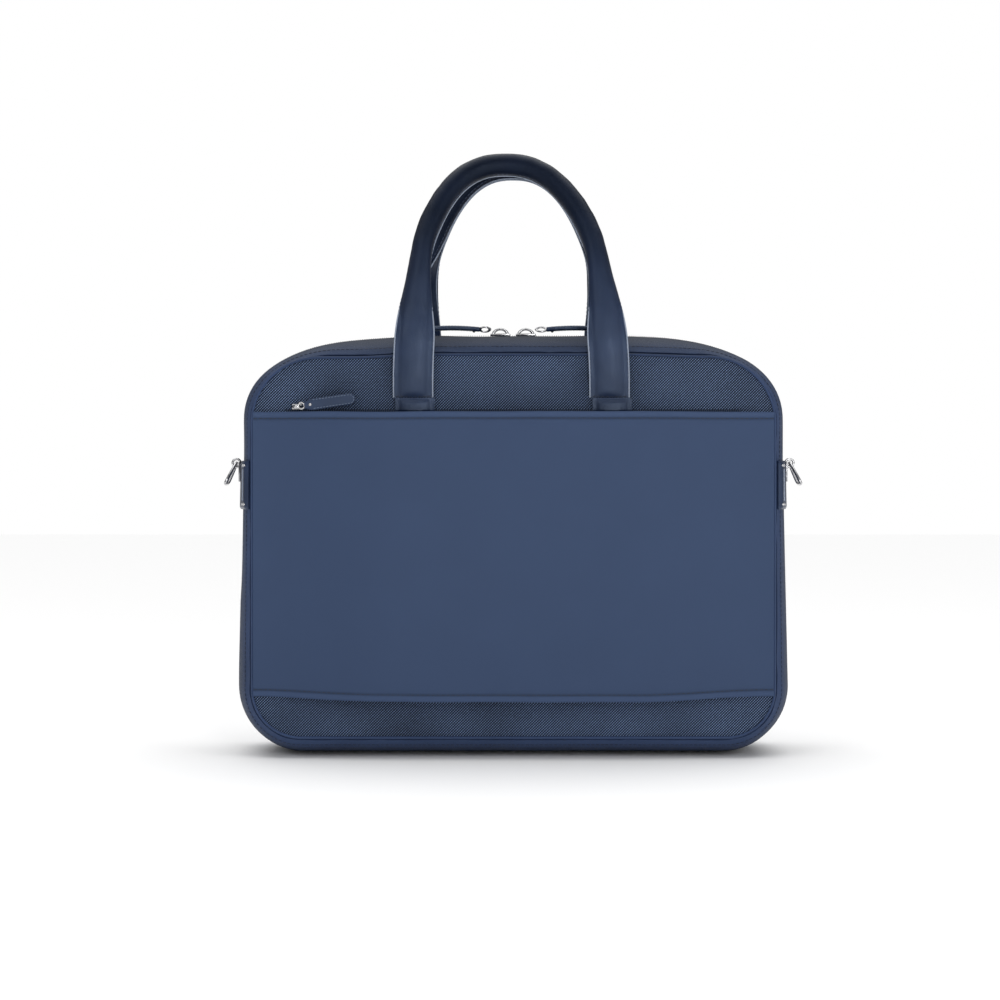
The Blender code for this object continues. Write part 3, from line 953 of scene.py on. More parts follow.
def coil_tooth():
    """Half a ring of plastic, standing across the zip line."""
    deselect_all()
    bpy.ops.mesh.primitive_torus_add(
        major_segments=10, minor_segments=6, major_radius=0.5, minor_radius=0.24, rotation=(0, math.pi / 2, 0)
    )
    tooth = bpy.context.object
    apply_place(tooth)
    tooth.scale = (0.0009, COIL * 0.68, 0.0012)
    return apply_place(tooth)


tooth = coil_tooth()


def outward_at(place):
    """The way out of the bag's edge at that place."""
    wide, tall, squareness = shoulder(0.0)
    reach = max(0.0, abs(place.x) - (HALF - TAPER - wide)) / wide
    rise = max(0.0, place.z - (TOP - tall)) / tall
    sideways = reach ** (squareness - 1) / wide
    upwards = rise ** (squareness - 1) / tall
    return Vector((math.copysign(sideways, place.x), 0, upwards + 1e-6)).normalized()


def coil(name, side, body):
    path = [Vector((x, ZIP_Y + side * (COIL * 0.40 + 0.0001), z)) for x, z in upper_line(0.0002)]
    piece = copies_along(name, tooth, path, TOOTH_PITCH, outward_at)
    finish(piece, name, coil_plastic, body)


coil("rear_zip_coil", -1, "bag")
coil("front_zip_coil", 1, "mouth_flap")

# %% [markdown]
# ## Zip sliders
#
# A slider is a cast plate, drawn in at both ends, with an arch on top for the link. The plate is a box
# whose two ends are made narrower before its edges are rounded. The arch is a small round section, spun
# through half a turn. On the top zip the plate sinks a little into the teeth.

# %% Sliders
def slider(name, node, along, up, size):
    """A slider on that node's body, its plate flat on the zip; size is length, width, plate and arch."""
    length, width, thick, rise = size
    deselect_all()
    bpy.ops.mesh.primitive_cube_add(size=1.0)
    plate = bpy.context.object
    plate.scale = (length, width, thick)
    apply_place(plate)
    for end, narrowed in ((1, 0.66), (-1, 0.70)):
        select_faces(plate, lambda centre, normal, end=end: normal.x * end > 0.9)
        foot = (end * length / 2, 0, -thick / 2)
        bpy.ops.transform.resize(value=(1, narrowed, 0.8), center_override=foot)
        close_edit(plate)
    add_modifier(plate, "BEVEL", width=thick * 0.34, segments=4, limit_method="NONE")
    apply_modifiers(plate)
    smooth(plate, 50)

    radius = width * 0.13
    middle_of_arch = (0, 0, thick * 0.2)
    bpy.ops.mesh.primitive_circle_add(vertices=12, radius=radius, location=(-length * 0.36, 0, thick * 0.2))
    arch = apply_place(bpy.context.object)
    edit_all(arch)
    bpy.ops.mesh.spin(steps=18, angle=math.pi, center=middle_of_arch, axis=(0, 1, 0))
    close_edit(arch)
    peak = max((v.co.z for v in arch.data.vertices), key=abs)
    arch.scale.z = (rise - thick * 0.5) / peak
    arch.scale.y = 1.7
    apply_place(arch)
    recalculate(arch)
    smooth(arch, 60)
    whole = join([plate, arch], name)
    low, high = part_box(node)
    middle = (low + high) / 2
    along, up = Vector(along), Vector(up)
    side = up.cross(along)
    turn = Matrix((along, side, up)).transposed().to_4x4()
    depth = low.dot(up) if sum(up) > 0 else high.dot(up)
    sunk = SLIDER_SUNK if up.z > 0.5 else 0.0
    seat = middle - up * middle.dot(up) + up * (depth - sunk)
    whole.matrix_world = Matrix.Translation(seat + up * thick / 2) @ turn
    apply_place(whole)
    body = body_of(bpy.data.objects[node])[0]
    finish(whole, name, metal, body)
    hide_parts(node)


SLIDER_SUNK = 0.0011
TOP_SLIDER = (0.0150, 0.0090, 0.0024, 0.0062)
slider("left_top_slider_cast", "top_slider_left", (-1, 0, 0), (0, 0, 1), TOP_SLIDER)
slider("right_top_slider_cast", "top_slider_right", (1, 0, 0), (0, 0, 1), TOP_SLIDER)
POCKET_SLIDER = (0.0074, 0.0060, 0.0022, 0.0048)
slider("rear_pocket_slider_cast", "rear_pocket_slider", (1, 0, 0), (0, -1, 0), POCKET_SLIDER)
slider("front_pocket_slider_cast", "front_pocket_slider", (1, 0, 0), (0, 1, 0), POCKET_SLIDER)

# %% [markdown]
# ## Links and leather pullers
#
# A wire link joins each slider to its puller. The puller is one strip of leather, folded over the link
# and sewn to itself, so it has two layers, a rounded end, stitches round its edge and a rivet at its
# neck. Each layer is a grid, round at its end, narrow at its neck and pressed down along its edge. The
# two grids are then joined along their edges.

# %% Pullers
LINK_WIDE, LINK_WIRE, HINGE_BACK = 0.0044, 0.16, 0.0045
NECK, SEAM_INSET = 0.006, 0.0011


def puller(name, node_start, along, up, length, half, thick, lift=0.0, link_length=0.0074, back=0.0):
    """Link, leather and rivet of one puller; node_start names its link and puller nodes."""
    along, up = Vector(along).normalized(), Vector(up)
    side = up.cross(along)
    link_low, link_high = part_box(f"{node_start}_link")
    hinge = (link_low + link_high) / 2 - along * (HINGE_BACK + back)
    turn = Matrix((along, side, up)).transposed().to_4x4()
    body = body_of(bpy.data.objects[f"{node_start}_link"])[0]

    deselect_all()
    bpy.ops.mesh.primitive_torus_add(
        major_segments=28, minor_segments=8, major_radius=0.5, minor_radius=LINK_WIRE
    )
    link = bpy.context.object
    link.scale = (link_length, LINK_WIDE, LINK_WIDE)
    apply_place(link)
    tilt = Matrix.Rotation(math.radians(50), 4, "X") if up.z > 0.5 else Matrix.Identity(4)
    link.matrix_world = Matrix.Translation(hinge + along * link_length * 0.62) @ turn @ tilt
    apply_place(link)
    smooth(link, 60)
    finish(link, f"{name}_link", metal, body)
    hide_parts(f"{node_start}_link")

    columns, rows = 44, 10

    def bend(a):
        return lift * math.sin(math.pi * min(1.0, a / length)) if lift else 0.0

    layers = []
    for face in (1, -1):
        def place(i, j, face=face):
            a = length * (i / columns)
            reach = half
            if a > length - half:
                reach = math.sqrt(max(0.0, half * half - (a - length + half) ** 2))
            reach *= 0.62 + 0.38 * ease(a / NECK)
            b = (2 * j / rows - 1) * max(reach, 0.0002)
            rim = min(1.0, (1 - abs(2 * j / rows - 1)) * 2.8) * min(1.0, (length - a) / 0.0014)
            belly = (0.42 + 0.58 * math.sqrt(max(0.0, rim))) * thick / 2
            return Vector((a, b, bend(a) + face * belly))

        layer, _, _ = cloth_grid(f"{name}_layer", columns, rows, place)
        layers.append(layer if face > 0 else flip(layer))
    strap = join(layers, name)
    pick(strap)
    bpy.ops.object.mode_set(mode="EDIT")
    bpy.ops.mesh.select_mode(type="EDGE")
    bpy.ops.mesh.select_all(action="DESELECT")
    bpy.ops.mesh.select_non_manifold()
    bpy.ops.mesh.bridge_edge_loops()
    bpy.ops.object.mode_set(mode="OBJECT")
    recalculate(strap)
    smooth(strap, 45)

    centre, reach = length - half, half - SEAM_INSET
    edge = [(NECK + (centre - NECK) * i / 25, -reach) for i in range(26)]
    for i in range(1, 16):
        angle = math.radians(-90 + 12 * i)
        edge.append((centre + reach * math.cos(angle), reach * math.sin(angle)))
    edge += [(a, -b) for a, b in reversed(edge[:25])]
    rows_of_thread = []
    for face in (1, -1):
        path = [Vector((a, b, bend(a) + face * (thick / 2 - 0.00012))) for a, b in edge]
        rows_of_thread.append(copies_along(f"{name}_row", small_stitch, path, 0.0022, (0, 0, face)))
    sewing = join(rows_of_thread, f"{name}_stitches")

    rivet = smooth(ball((0.0030, 0.0030, thick + 0.0014), (0.0042, 0, 0), 20, 12), 60)

    for piece in (strap, sewing, rivet):
        piece.matrix_world = Matrix.Translation(hinge + along * link_length * 1.16) @ turn
        apply_place(piece)
    finish(strap, name, leather, body)
    finish(sewing, f"{name}_stitches", pale_thread, body)
    finish(rivet, f"{name}_rivet", metal, body)
    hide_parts(f"{node_start}_puller")


small_stitch = grain("small_stitch", 0.0018, 0.00050, 0.00042)
puller_low, puller_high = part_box("top_right_puller")
TOP_LENGTH = (puller_high - puller_low).x
for side, word in ((-1, "left"), (1, "right")):
    puller(f"{word}_zip_puller", f"top_{word}", (side, 0, 0), (0, 0, 1), TOP_LENGTH, 0.0038, 0.0034, 0.0010)
REST = Matrix.Rotation(math.radians(-8), 3, "Y") @ Vector((1, 0, 0))
puller(
    "rear_pocket_zip_puller", "rear_pocket", REST, (0, -1, 0), 0.0372, 0.0042, 0.0026,
    link_length=0.0044, back=0.0044,
)
puller("front_pocket_zip_puller", "front_pocket", (0, 0, -1), (0, 1, 0), 0.0345, 0.0039, 0.0024)

# %% [markdown]
# ## Trolley sleeve
#
# The sleeve is one sheet of smooth cloth across the back. Its sides are sewn into the seams of the panel,
# and it stands off in the middle, so that the tubes of a pull handle fit behind it. Its top and bottom
# edges are folded in and stitched, which makes a slightly thicker hem with a row of thread.

# %% Trolley sleeve
SLEEVE_EDGE = SEAM_HALF - 0.0006
FLAT_HALF = 0.086
SLEEVE_LOW, SLEEVE_HIGH = sleeve_low.z, sleeve_high.z
SLEEVE_ROOM = 0.0133
HEM = 0.0050
SLEEVE_COLOUR = (0.0330, 0.0530, 0.1090)


def sleeve_point(x, z):
    """The outer face of the sleeve."""
    stand_off = 0.0003 + SLEEVE_ROOM * ease((SLEEVE_EDGE - abs(x)) / (SLEEVE_EDGE - FLAT_HALF))
    place = Vector((x * 9, 0, z * 13))
    slack = 0.0009 * noise.noise(place) * ease((SLEEVE_EDGE - abs(x)) / 0.05)
    from_edge = min(z - SLEEVE_LOW, SLEEVE_HIGH - z)
    hem = 0.0005 * ease((HEM - from_edge) / 0.0022) - 0.0004 * math.exp(-((from_edge - HEM) / 0.0012) ** 2)
    wave = 0.0007 * noise.noise(Vector((x * 34, 3.0, z * 5))) * math.exp(-from_edge / 0.012)
    return Vector((x, REAR - stand_off - 0.0014 - slack - hem - wave, z))


SLEEVE_COLUMNS, SLEEVE_ROWS = 150, 120


def sleeve_place(i, j):
    """A crossing of the sleeve's grid, whose rows lie closer together near both hems."""
    x = SLEEVE_EDGE * (2 * i / SLEEVE_COLUMNS - 1)
    turn = math.cos(math.pi * (j / SLEEVE_ROWS))
    share = min(1.0, max(0.0, 0.5 - 0.5 * turn * (0.35 + 0.65 * abs(turn) ** 0.5)))
    z = SLEEVE_LOW + (SLEEVE_HIGH - SLEEVE_LOW) * share
    edge_wave = 0.0012 * noise.noise(Vector((x * 16, 7.0, 0.0))) * abs(2 * share - 1) ** 6
    drop = edge_wave if share > 0.5 else -edge_wave
    sag = -0.0030 * ease((SLEEVE_EDGE - abs(x)) / 0.10) * max(0.0, 1 - 2 * share) ** 3
    return sleeve_point(x, z) + Vector((0, 0, drop + sag))


sleeve, sleeve_along, sleeve_across = cloth_grid(
    "trolley_sleeve_cloth", SLEEVE_COLUMNS, SLEEVE_ROWS, sleeve_place
)
thicken(sleeve, 0.0012, 60)
# the hem shading is painted: a painted highlight over each hem, painted shade along its edge and seam
sleeve_hems = (sleeve_across, HEM)
sleeve_cloth = make_plain_cloth("sleeve_cloth", SLEEVE_COLOUR, 0.55, 0.0006, 0.03, hems=sleeve_hems)
finish(sleeve, "trolley_sleeve_cloth", sleeve_cloth, "bag")
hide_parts("trolley_sleeve")
print(f"trolley sleeve cut {sleeve_along:.3f} by {sleeve_across:.3f} m")


def sleeve_row(name, z):
    """A row of thread across the sleeve. The lower one sags with its hem."""
    path = [sleeve_point(SLEEVE_EDGE * (i / 90 - 1), z) for i in range(181)]
    if z < (SLEEVE_LOW + SLEEVE_HIGH) / 2:
        path = [p + Vector((0, 0, -0.0028 * ease((SLEEVE_EDGE - abs(p.x)) / 0.10))) for p in path]
    finish(stitches(name, path, (0, -1, 0), 0.0036), name, dark_thread, "bag")


sleeve_row("sleeve_top_stitches", SLEEVE_HIGH - HEM)
sleeve_row("sleeve_low_stitches", SLEEVE_LOW + HEM)

# %% [markdown]
# ## Pocket zips
#
# The rear pocket's zip runs along the sleeve's top edge, half hidden by it. The front one sits in the
# edge of a flat pocket. Both are closed, so each shows one line of teeth on its tape.

# %% Pocket zips
def pocket_zip(name, out, low_z, high_z, coil_z):
    low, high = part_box(name)
    face = low.y if out < 0 else high.y
    half = high.x

    def place(i, j):
        x = half * (2 * i / 120 - 1)
        z = low_z + (high_z - low_z) * j / 4
        return Vector((x, face + out * 0.0001 * noise.noise(Vector((x * 30, 0, z))), z))

    tape, _, _ = cloth_grid(f"{name}_tape", 120, 4, place)
    thicken(tape, 0.0008, 60)
    finish(tape, f"{name}_tape", zip_tape_cloth, "bag")
    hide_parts(name)
    path = [Vector((half * (2 * i / 60 - 1), face + out * 0.0002, coil_z)) for i in range(61)]
    teeth = copies_along(f"{name}_coil", tooth, path, 0.0016, (0, out, 0))
    finish(teeth, f"{name}_coil", coil_plastic, "bag")


low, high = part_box("rear_pocket_zip")
REAR_COIL_Z = (low.z + high.z) / 2 - 0.0030
pocket_zip("rear_pocket_zip", -1, low.z - 0.003, REAR_COIL_Z + 0.0010, REAR_COIL_Z)
low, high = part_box("front_pocket_zip")
pocket_zip("front_pocket_zip", 1, low.z, high.z, (low.z + high.z) / 2)

# %% [markdown]
# ## Handles
#
# Each handle is one long strap. On the panel it lies flat: padded along the middle, with thin sewn
# edges. Further up its edges are wrapped round a cord until they meet on the inner side, so the strap
# turns into a round grip. The same ring of points is therefore bent from a flat section to a round one.
# A thin pale bead runs along each of its edges.

# %% Handle sections
LEG_HALF = 0.0142
GRIP_RADIUS, INNER_RADIUS, WRAP = 0.0083, 0.0070, 168
STITCH_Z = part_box("rear_handle")[0].z
GRIP_Z, HANDLE_BEND, LEAN_Z = 0.4370, 2.3, 0.3020
OUTER_X, OUTER_Z = 0.0855, GRIP_Z + GRIP_RADIUS - STITCH_Z
RING_FRONT, RING_BACK = 30, 14


def flat_section(k):
    """(across, outwards) of point k on the flat strap, in metres."""
    if k < RING_FRONT:
        a = LEG_HALF * math.cos(math.pi * k / (RING_FRONT - 1))
        pad = max(0.0, 1 - (a / 0.0104) ** 2)
        return a, 0.0002 + 0.0026 * pad ** 0.66
    a = -LEG_HALF * math.cos(math.pi * (k - RING_FRONT + 1) / (RING_BACK + 1))
    return a, -0.0013 - 0.0006 * (1 - (a / LEG_HALF) ** 2)


def round_section(k):
    """(across, outwards) of the same point where the strap is wrapped into a grip."""
    if k < RING_FRONT:
        angle = math.radians(WRAP) * (1 - 2 * k / (RING_FRONT - 1))
        return GRIP_RADIUS * math.sin(angle), GRIP_RADIUS * math.cos(angle)
    t = (k - RING_FRONT + 1) / (RING_BACK + 1)
    angle = math.radians(-WRAP - (360 - 2 * WRAP) * t)
    return INNER_RADIUS * math.sin(angle), INNER_RADIUS * math.cos(angle) - 0.0006


STRAP_WIDE, GRIP_WIDE = 0.0285, 0.0166


def arch_width(rise):
    """How wide the strap looks from the back: flat at the legs, then turned and rolled."""
    return STRAP_WIDE + (GRIP_WIDE - STRAP_WIDE) * ease((rise - 0.22) / 0.48)


def handle_spine(share, base_y, grip_y):
    """Middle of the strap, half its width inside the outer edge of the arch.

    The rear handle has been pulled a few millimetres to one side, as soft handles are.
    """
    angle = math.pi * share
    c, s = math.cos(angle), math.sin(angle)
    power = 2 / HANDLE_BEND
    outer_x, outer_rise = abs(c) ** power, abs(s) ** power
    slope = Vector((outer_x ** (HANDLE_BEND - 1) / OUTER_X, outer_rise ** (HANDLE_BEND - 1) / OUTER_Z))
    inwards = -slope.normalized() * arch_width(outer_rise) / 2
    x = math.copysign(OUTER_X * outer_x + inwards.x, -c)
    z = STITCH_Z + OUTER_Z * outer_rise + inwards.y
    lean = max(0.0, (z - LEAN_Z) / (GRIP_Z - LEAN_Z)) ** 1.25
    step = ease((z - STITCH_Z) / 0.018)
    over_cord = 2.2 * PIPING * step * (1 - lean)
    y = base_y + math.copysign(over_cord, base_y) + (grip_y - base_y) * lean
    if base_y < 0:
        x -= 0.0016 + 0.0045 * outer_rise ** 2
    return Vector((x, y, z)), outer_rise


def handle_frames(out, base_y, grip_y, count):
    """Place, axes and roll of the strap at each step, with the steps closer together at the legs."""
    shares = [0.5 - 0.5 * math.cos(math.pi * i / (count - 1)) for i in range(count)]
    spine = [handle_spine(share, base_y, grip_y) for share in shares]
    frames = []
    for i, (point, rise) in enumerate(spine):
        before, after = spine[max(0, i - 1)][0], spine[min(count - 1, i + 1)][0]
        along = (after - before).normalized()
        if i in (0, count - 1):
            along = Vector((0, 0, 1 if i == 0 else -1))
        face = Vector((0, out, 0))
        outer = Vector((along.z, 0, -along.x)) * -1
        roll = ease((rise - 0.22) / 0.52)
        turn = roll ** 2 * math.radians(80)
        up = (face * math.cos(turn) + outer.normalized() * math.sin(turn)).normalized()
        up = (up - along * up.dot(along)).normalized()
        across = along.cross(up).normalized()
        frames.append((point, along, across, up, roll))
    return frames


# %% Handle straps
def handle_skin(point, across, up, roll, k):
    fa, fo = flat_section(k)
    ra, ro = round_section(k)
    return point + across * (fa + (ra - fa) * roll) + up * (fo + (ro - fo) * roll)


STRAP_OUT, EDGE_BEAD = 0.0026, 0.00055


def make_handle(name, node, out, grip_y):
    """A handle on the body that has its node's name."""
    base_y = (REAR - STRAP_OUT) if out < 0 else (FRONT + STRAP_OUT)
    frames = handle_frames(out, base_y, grip_y, 150)
    size = RING_FRONT + RING_BACK
    points, faces = [], []
    for i, (point, _, across, up, roll) in enumerate(frames):
        end = min(i, len(frames) - 1 - i)
        pinch = 0.25 + 0.75 * ease(end / 8)
        for k in range(size):
            skin = handle_skin(point, across, up, roll, k)
            if k < RING_FRONT:
                crease = 0.00028 * noise.noise(skin * 130) + 0.0005 * noise.noise(skin * 38)
                skin = skin + up * (crease - (1 - pinch) * max(0.0, flat_section(k)[1]))
            points.append(skin)
    for i in range(len(frames) - 1):
        for k in range(size):
            m = (k + 1) % size
            faces.append((i * size + k, i * size + m, (i + 1) * size + m, (i + 1) * size + k))
    faces.append(tuple(reversed(range(size))))
    faces.append(tuple(range((len(frames) - 1) * size, len(frames) * size)))
    strap = mesh_object(name, points, faces)
    recalculate(strap)
    smooth(strap, 50)
    finish(strap, name, leather, node)
    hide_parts(node)

    rows = []
    for k in (2, RING_FRONT - 3):
        path = [handle_skin(p, across, up, roll, k) + up * 0.0001 for p, _, across, up, roll in frames]
        ways = [
            (handle_skin(p, across, up, roll, k), up, across, roll) for p, _, across, up, roll in frames
        ]
        sign = 1 if k < RING_FRONT / 2 else -1

        def out_of(place, ways=ways, sign=sign):
            _, up, across, roll = min(ways, key=lambda way: (way[0] - place).length_squared)
            return (up * (1 - 1.9 * roll) + across * sign * roll * 0.5).normalized()

        rows.append(stitches(f"{name}_row", path, out_of, 0.0033))
    foot = []
    for end in (0, -1):
        point, _, across, up, _ = frames[end]
        base = point + Vector((0, 0, 0.0008))
        foot_path = [base + across * (0.0128 * (i / 6 - 1)) + up * 0.0010 for i in range(13)]
        foot.append(stitches(f"{name}_foot", foot_path, tuple(up), 0.0030))
    beads = []
    for k in (0, RING_FRONT - 1):
        line = [handle_skin(p, across, up, roll, k) for p, _, across, up, roll in frames]
        beads.append(round_line(f"{name}_edge", line, EDGE_BEAD))
    finish(join(rows, f"{name}_stitches"), f"{name}_stitches", thread, node)
    finish(join(foot, f"{name}_foot_stitches"), f"{name}_foot_stitches", dark_thread, node)
    finish(join(beads, f"{name}_edges"), f"{name}_edges", pale_edge_and_highlight, node)


make_handle("rear_carry_handle", "rear_handle", -1, -0.0070)
make_handle("front_carry_handle", "front_handle", 1, 0.0146)

# %% [markdown]
# The flat ends of the straps are sewn down below the handles. They are the same strap, so they have the
# same thin edges, but little padding. Above its seam an end stands off a little and meets the handle.

# %% Sewn ends of the straps
def sewn_end(name, node, out, body):
    low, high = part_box(node)
    face = low.y if out < 0 else high.y
    middle = (low.x + high.x) / 2

    def place(i, j):
        a = LEG_HALF * (2 * i / 28 - 1)
        z = low.z + (high.z - low.z) * j / 48
        pad = max(0.0, 1 - (a / 0.0106) ** 2) ** 0.42
        free = ease((z - (high.z - 0.0110)) / 0.0015)
        pinch = 1 - 0.8 * ease((z - (high.z - 0.0040)) / 0.0036)
        lift = (0.0006 + 0.0018 * free) * pad * pinch * ease((z - low.z) / 0.004) + 0.0024 * free
        return Vector((middle + a, face + out * lift, z))

    piece, _, _ = cloth_grid(name, 28, 48, place)
    thicken(piece, 0.0008, 50)
    finish(piece, name, leather, body)
    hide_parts(node)
    rows = []
    for side in (-1, 1):
        x, y = middle + side * 0.0123, face + out * 0.0002
        path = [Vector((x, y, low.z + 0.002 + 0.030 * i / 10)) for i in range(11)]
        rows.append(stitches(f"{name}_row", path, (0, out, 0), 0.0033))
    finish(join(rows, f"{name}_stitches"), f"{name}_stitches", thread, body)


for word in ("left", "right"):
    sewn_end(f"rear_sewn_end_{word}", f"rear_handle_anchor_{word}", -1, "bag")
    sewn_end(f"front_sewn_end_{word}", f"front_handle_anchor_{word}", 1, "mouth_flap")

# %% [markdown]
# ## Side tabs and strap rings
#
# A leather tab covers each end of the main zip. It carries a metal eye, and a ring hangs from the eye for
# a shoulder strap. The tab is a sheet of leather that wraps the gusset from seam to seam. It is folded
# near its rear end, where a pale bead along the fold is a painted highlight, and rivets hold it.

# %% Side tabs
TAB_REAR, TAB_FRONT = REAR + 0.0008, FRONT - 0.0008


def gusset_half(y, z):
    """Half the width of the bag over its gusset at that depth and height."""
    share = (z - BOTTOM_RADIUS) / (ZIP_END - BOTTOM_RADIUS)
    inset = gusset_inset(y)
    return HALF - inset - taper(inset) * min(1.0, share)


def side_tab(side, word):
    low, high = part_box(f"side_tab_{word}")
    columns, rows = 90, 40

    def place(i, j):
        y = TAB_REAR + (TAB_FRONT - TAB_REAR) * i / columns
        u, v = abs(2 * i / columns - 1), abs(2 * j / rows - 1)
        tall = 1 - 0.16 * ease((0.35 - u) / 0.35)
        z = (low.z + high.z) / 2 + (high.z - low.z) / 2 * (2 * j / rows - 1) * tall
        rim = min(1.0, (1 - u) * 26) * min(1.0, (1 - v) * 9)
        fold = 0.0010 * math.exp(-(((1 - u) * (TAB_FRONT - TAB_REAR) / 2 - 0.0028) / 0.0012) ** 2)
        swell = 0.0012 + 0.0009 * math.sqrt(max(0.0, rim)) + fold * (1 - v ** 6)
        slope = (gusset_half(y + 0.0005, z) - gusset_half(y - 0.0005, z)) / 0.001
        away = Vector((1.0, -slope, 0.0)).normalized() * swell
        return Vector((side * (gusset_half(y, z) + away.x), y + away.y, z))

    piece, _, _ = cloth_grid(f"side_tab_leather_{word}", columns, rows, place)
    thicken(piece, 0.0016, 50)
    finish(piece, f"side_tab_leather_{word}", leather, "bag")
    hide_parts(f"side_tab_{word}")
    spots = [(column, row) for column in (2, 6, columns - 6, columns - 2) for row in (4, rows - 4)]
    rivets = [ball((0.0019, 0.0019, 0.0019), place(column, row), 16, 10) for column, row in spots]
    # painted highlight: a pale bead along the tab's fold
    fold_highlight_line = [place(5, j / 2) for j in range(14, 2 * rows - 13)]
    bead = round_line(f"side_tab_fold_{word}", fold_highlight_line, 0.0008)
    finish(bead, f"side_tab_fold_{word}", pale_edge_and_highlight, "bag")
    heads = join(rivets, f"side_tab_rivets_{word}")
    smooth(heads, 60)
    finish(heads, f"side_tab_rivets_{word}", metal, "bag")


for side, word in ((-1, "left"), (1, "right")):
    side_tab(side, word)


# %% Eyes and rings
EYE_Z, EYE_PLATE_Z, RING_LEAN = 0.2150, 0.2085, 26
RING_SHAPE = [(0.0, 0.0018), (0.0030, 0.0040), (0.0150, 0.0098), (0.0172, 0.0080), (0.0176, 0.0)]


def eye_and_ring(side, word):
    """The eye on a side tab and the ring in it; the shape of the ring is (down, half its width)."""
    low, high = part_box(f"strap_eye_{word}")
    outer, inner = (high.x, low.x) if side > 0 else (low.x, high.x)
    centre = Vector((outer - side * 0.0032, ZIP_Y, EYE_Z))
    deselect_all()
    bpy.ops.mesh.primitive_torus_add(
        major_segments=32, minor_segments=12, major_radius=0.0030, minor_radius=0.0009,
        location=centre, rotation=(math.pi / 2, 0, 0),
    )
    loop = bpy.context.object
    apply_place(loop)
    bpy.ops.mesh.primitive_cube_add(size=1.0)
    plate = bpy.context.object
    plate.scale = (0.0013, 0.0090, 0.0150)
    plate.location = (inner + side * 0.0008, ZIP_Y, EYE_PLATE_Z)
    apply_place(plate)
    add_modifier(plate, "BEVEL", width=0.0005, segments=3, limit_method="NONE")
    apply_modifiers(plate)
    eye = join([loop, plate], f"strap_eye_wire_{word}")
    smooth(eye, 50)
    finish(eye, f"strap_eye_wire_{word}", metal, "bag")
    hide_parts(f"strap_eye_{word}")

    outline = RING_SHAPE + [(down, -half) for down, half in reversed(RING_SHAPE[:-1])]
    turn = Matrix.Rotation(-side * math.radians(RING_LEAN), 3, "Y")
    wire = [Vector((0.0, half, -down)) for down, half in outline]
    for _ in range(3):
        finer = []
        for i, p in enumerate(wire):
            q = wire[(i + 1) % len(wire)]
            finer += [p.lerp(q, 0.25), p.lerp(q, 0.75)]
        wire = finer
    ring = round_line(f"strap_ring_wire_{word}", [centre + turn @ p for p in wire], 0.0012, True, 4)
    finish(ring, f"strap_ring_wire_{word}", metal, f"strap_ring_{word}")
    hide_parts(f"strap_ring_{word}")


for side, word in ((-1, "left"), (1, "right")):
    eye_and_ring(side, word)

# %% [markdown]
# ## Front pocket
#
# The front has one flat pocket of the same woven cloth as the panel. It is as wide as the panel, and its
# top edge meets the zip.

# %% Front pocket
def front_pocket():
    low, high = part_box("front_pocket_panel")
    line = lower_line(BULGE + 2 * PIPING + 0.0015, high.z)
    steps = SIDE_STEPS + CORNER_STEPS

    def place(i, j):
        left, right = line[i], line[-1 - i]
        share = j / 60
        x = left[0] + (right[0] - left[0]) * share
        z = left[1] + (right[1] - left[1]) * share
        rim = min(high.x - abs(x), z - low.z, high.z - z)
        puff = 0.0014 * ease(rim / 0.006) + pucker((x, 11.0, z), max(0.0, rim), 0.0005, 11.0)
        return Vector((x, FRONT + 0.0016 + max(0.0003, puff), z))

    piece, _, _ = cloth_grid("front_pocket_cloth", steps, 60, place)
    thicken(piece, 0.0010, 50, clean=True)
    finish(piece, "front_pocket_cloth", woven_cloth, "bag")
    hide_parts("front_pocket_panel")


front_pocket()

# %% [markdown]
# ## Inside
#
# The stiff board in the bottom, the padded divider, the pocket and the strap keep the shapes of the
# frame. They only need their own finishes, which show when the bag is open.

# %% Finishes for the pieces that keep their shape
inner_finishes = {
    "base_board": board,
    "laptop_divider": lining_cloth,
    "organiser_pocket": lining_cloth,
    "laptop_strap": zip_tape_cloth,
}
for node, finish_material in inner_finishes.items():
    piece = bpy.data.objects[node]
    piece.data.materials.clear()
    piece.data.materials.append(finish_material)

for spare in (stitch_grain, small_stitch, tooth):
    bpy.data.objects.remove(spare)

# %% [markdown]
# ## Studio
#
# A pale floor, a white surround, one large soft light high on the left and a weaker one on the right.
# A wide, soft sun overhead lights the floor white, and a tall panel near the camera puts a soft sheen on
# the leather and the gusset.

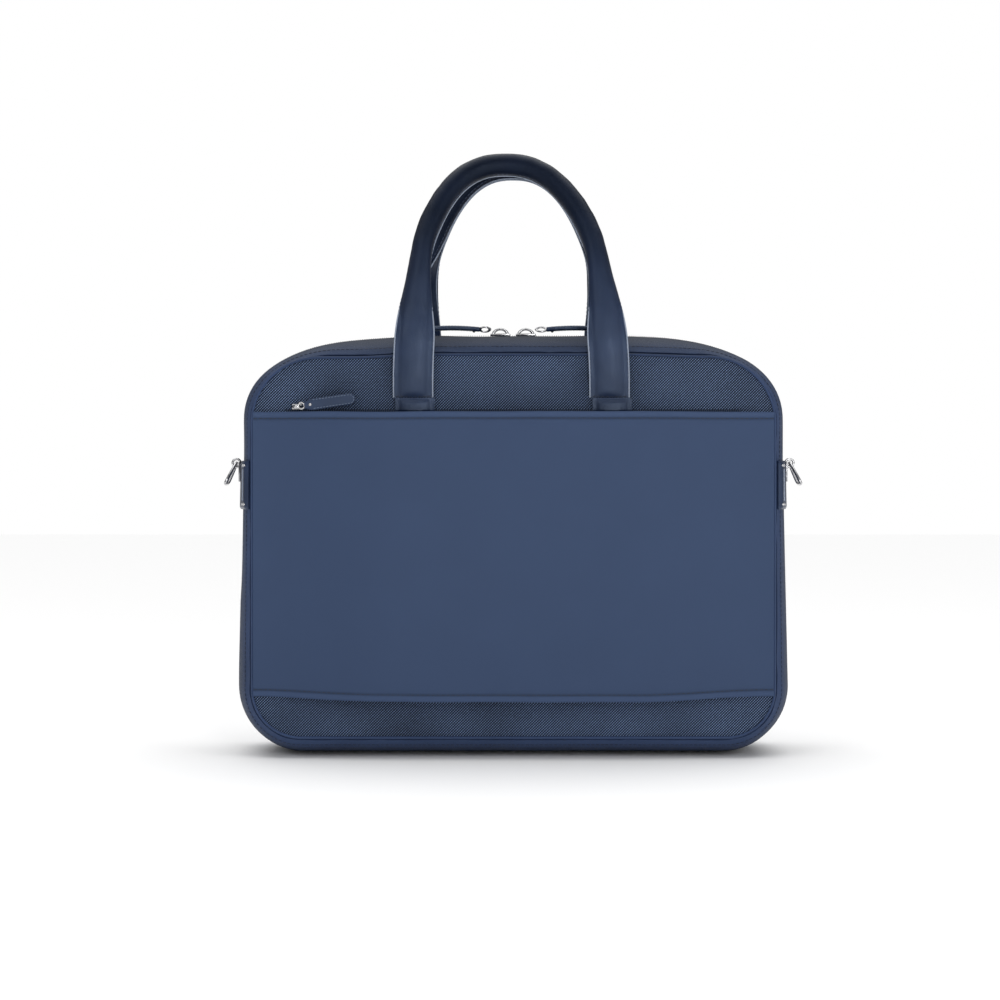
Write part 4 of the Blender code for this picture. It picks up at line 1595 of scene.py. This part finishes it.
# %% Floor, lights and camera
bpy.ops.mesh.primitive_plane_add(size=12.0, location=(0, 0, -0.0005))
floor = bpy.context.object
floor_finish, _, floor_shader = new_finish("pale_floor", 0.9)
floor_shader.inputs["Base Color"].default_value = (*grey(0.98), 1.0)
floor.data.materials.append(floor_finish)

world = bpy.data.worlds.new("studio")
bpy.context.scene.world = world
world.use_nodes = True
surround = world.node_tree.nodes["Background"]
surround.inputs[0].default_value = (*grey(1.0), 1.0)
direct_look = world.node_tree.nodes.new("ShaderNodeLightPath").outputs["Is Camera Ray"]
SURROUND_LIGHT = 0.26
surround_power = calc(world.node_tree, "MAXIMUM", direct_look, SURROUND_LIGHT)
world.node_tree.links.new(surround_power, surround.inputs[1])


def soft_light(name, place, target, size, power):
    lamp = bpy.data.lights.new(name, "AREA")
    lamp.shape = "RECTANGLE"
    lamp.size, lamp.size_y = size
    lamp.energy = power
    piece = bpy.data.objects.new(name, lamp)
    piece.location = place
    piece.rotation_euler = (Vector(target) - Vector(place)).to_track_quat("-Z", "Y").to_euler()
    bpy.context.collection.objects.link(piece)


soft_light("key", (-1.3, -1.7, 1.4), (0, 0, 0.2), (1.0, 1.0), 8)
soft_light("fill", (1.6, -1.3, 0.8), (0, 0, 0.2), (0.7, 1.3), 6.5)
soft_light("sheen", (0.34, -1.8, 0.50), (0, 0, 0.3), (0.30, 0.9), 8)

overhead = bpy.data.lights.new("overhead", "SUN")
overhead.energy = 2.4
overhead.angle = math.radians(80)
overhead_lamp = bpy.data.objects.new("overhead", overhead)
overhead_lamp.rotation_euler = (math.radians(-12), 0, 0)
bpy.context.collection.objects.link(overhead_lamp)

camera_data = bpy.data.cameras.new("camera")
camera_data.sensor_width = 36.0
camera_data.lens = 79.3
camera = bpy.data.objects.new("camera", camera_data)
bpy.context.collection.objects.link(camera)
camera.location = (-0.0098, -1.65, 0.206)
camera.rotation_euler = (math.radians(90 - 0.65), 0, 0)
bpy.context.scene.camera = camera
bpy.context.scene.view_settings.view_transform = "Standard"
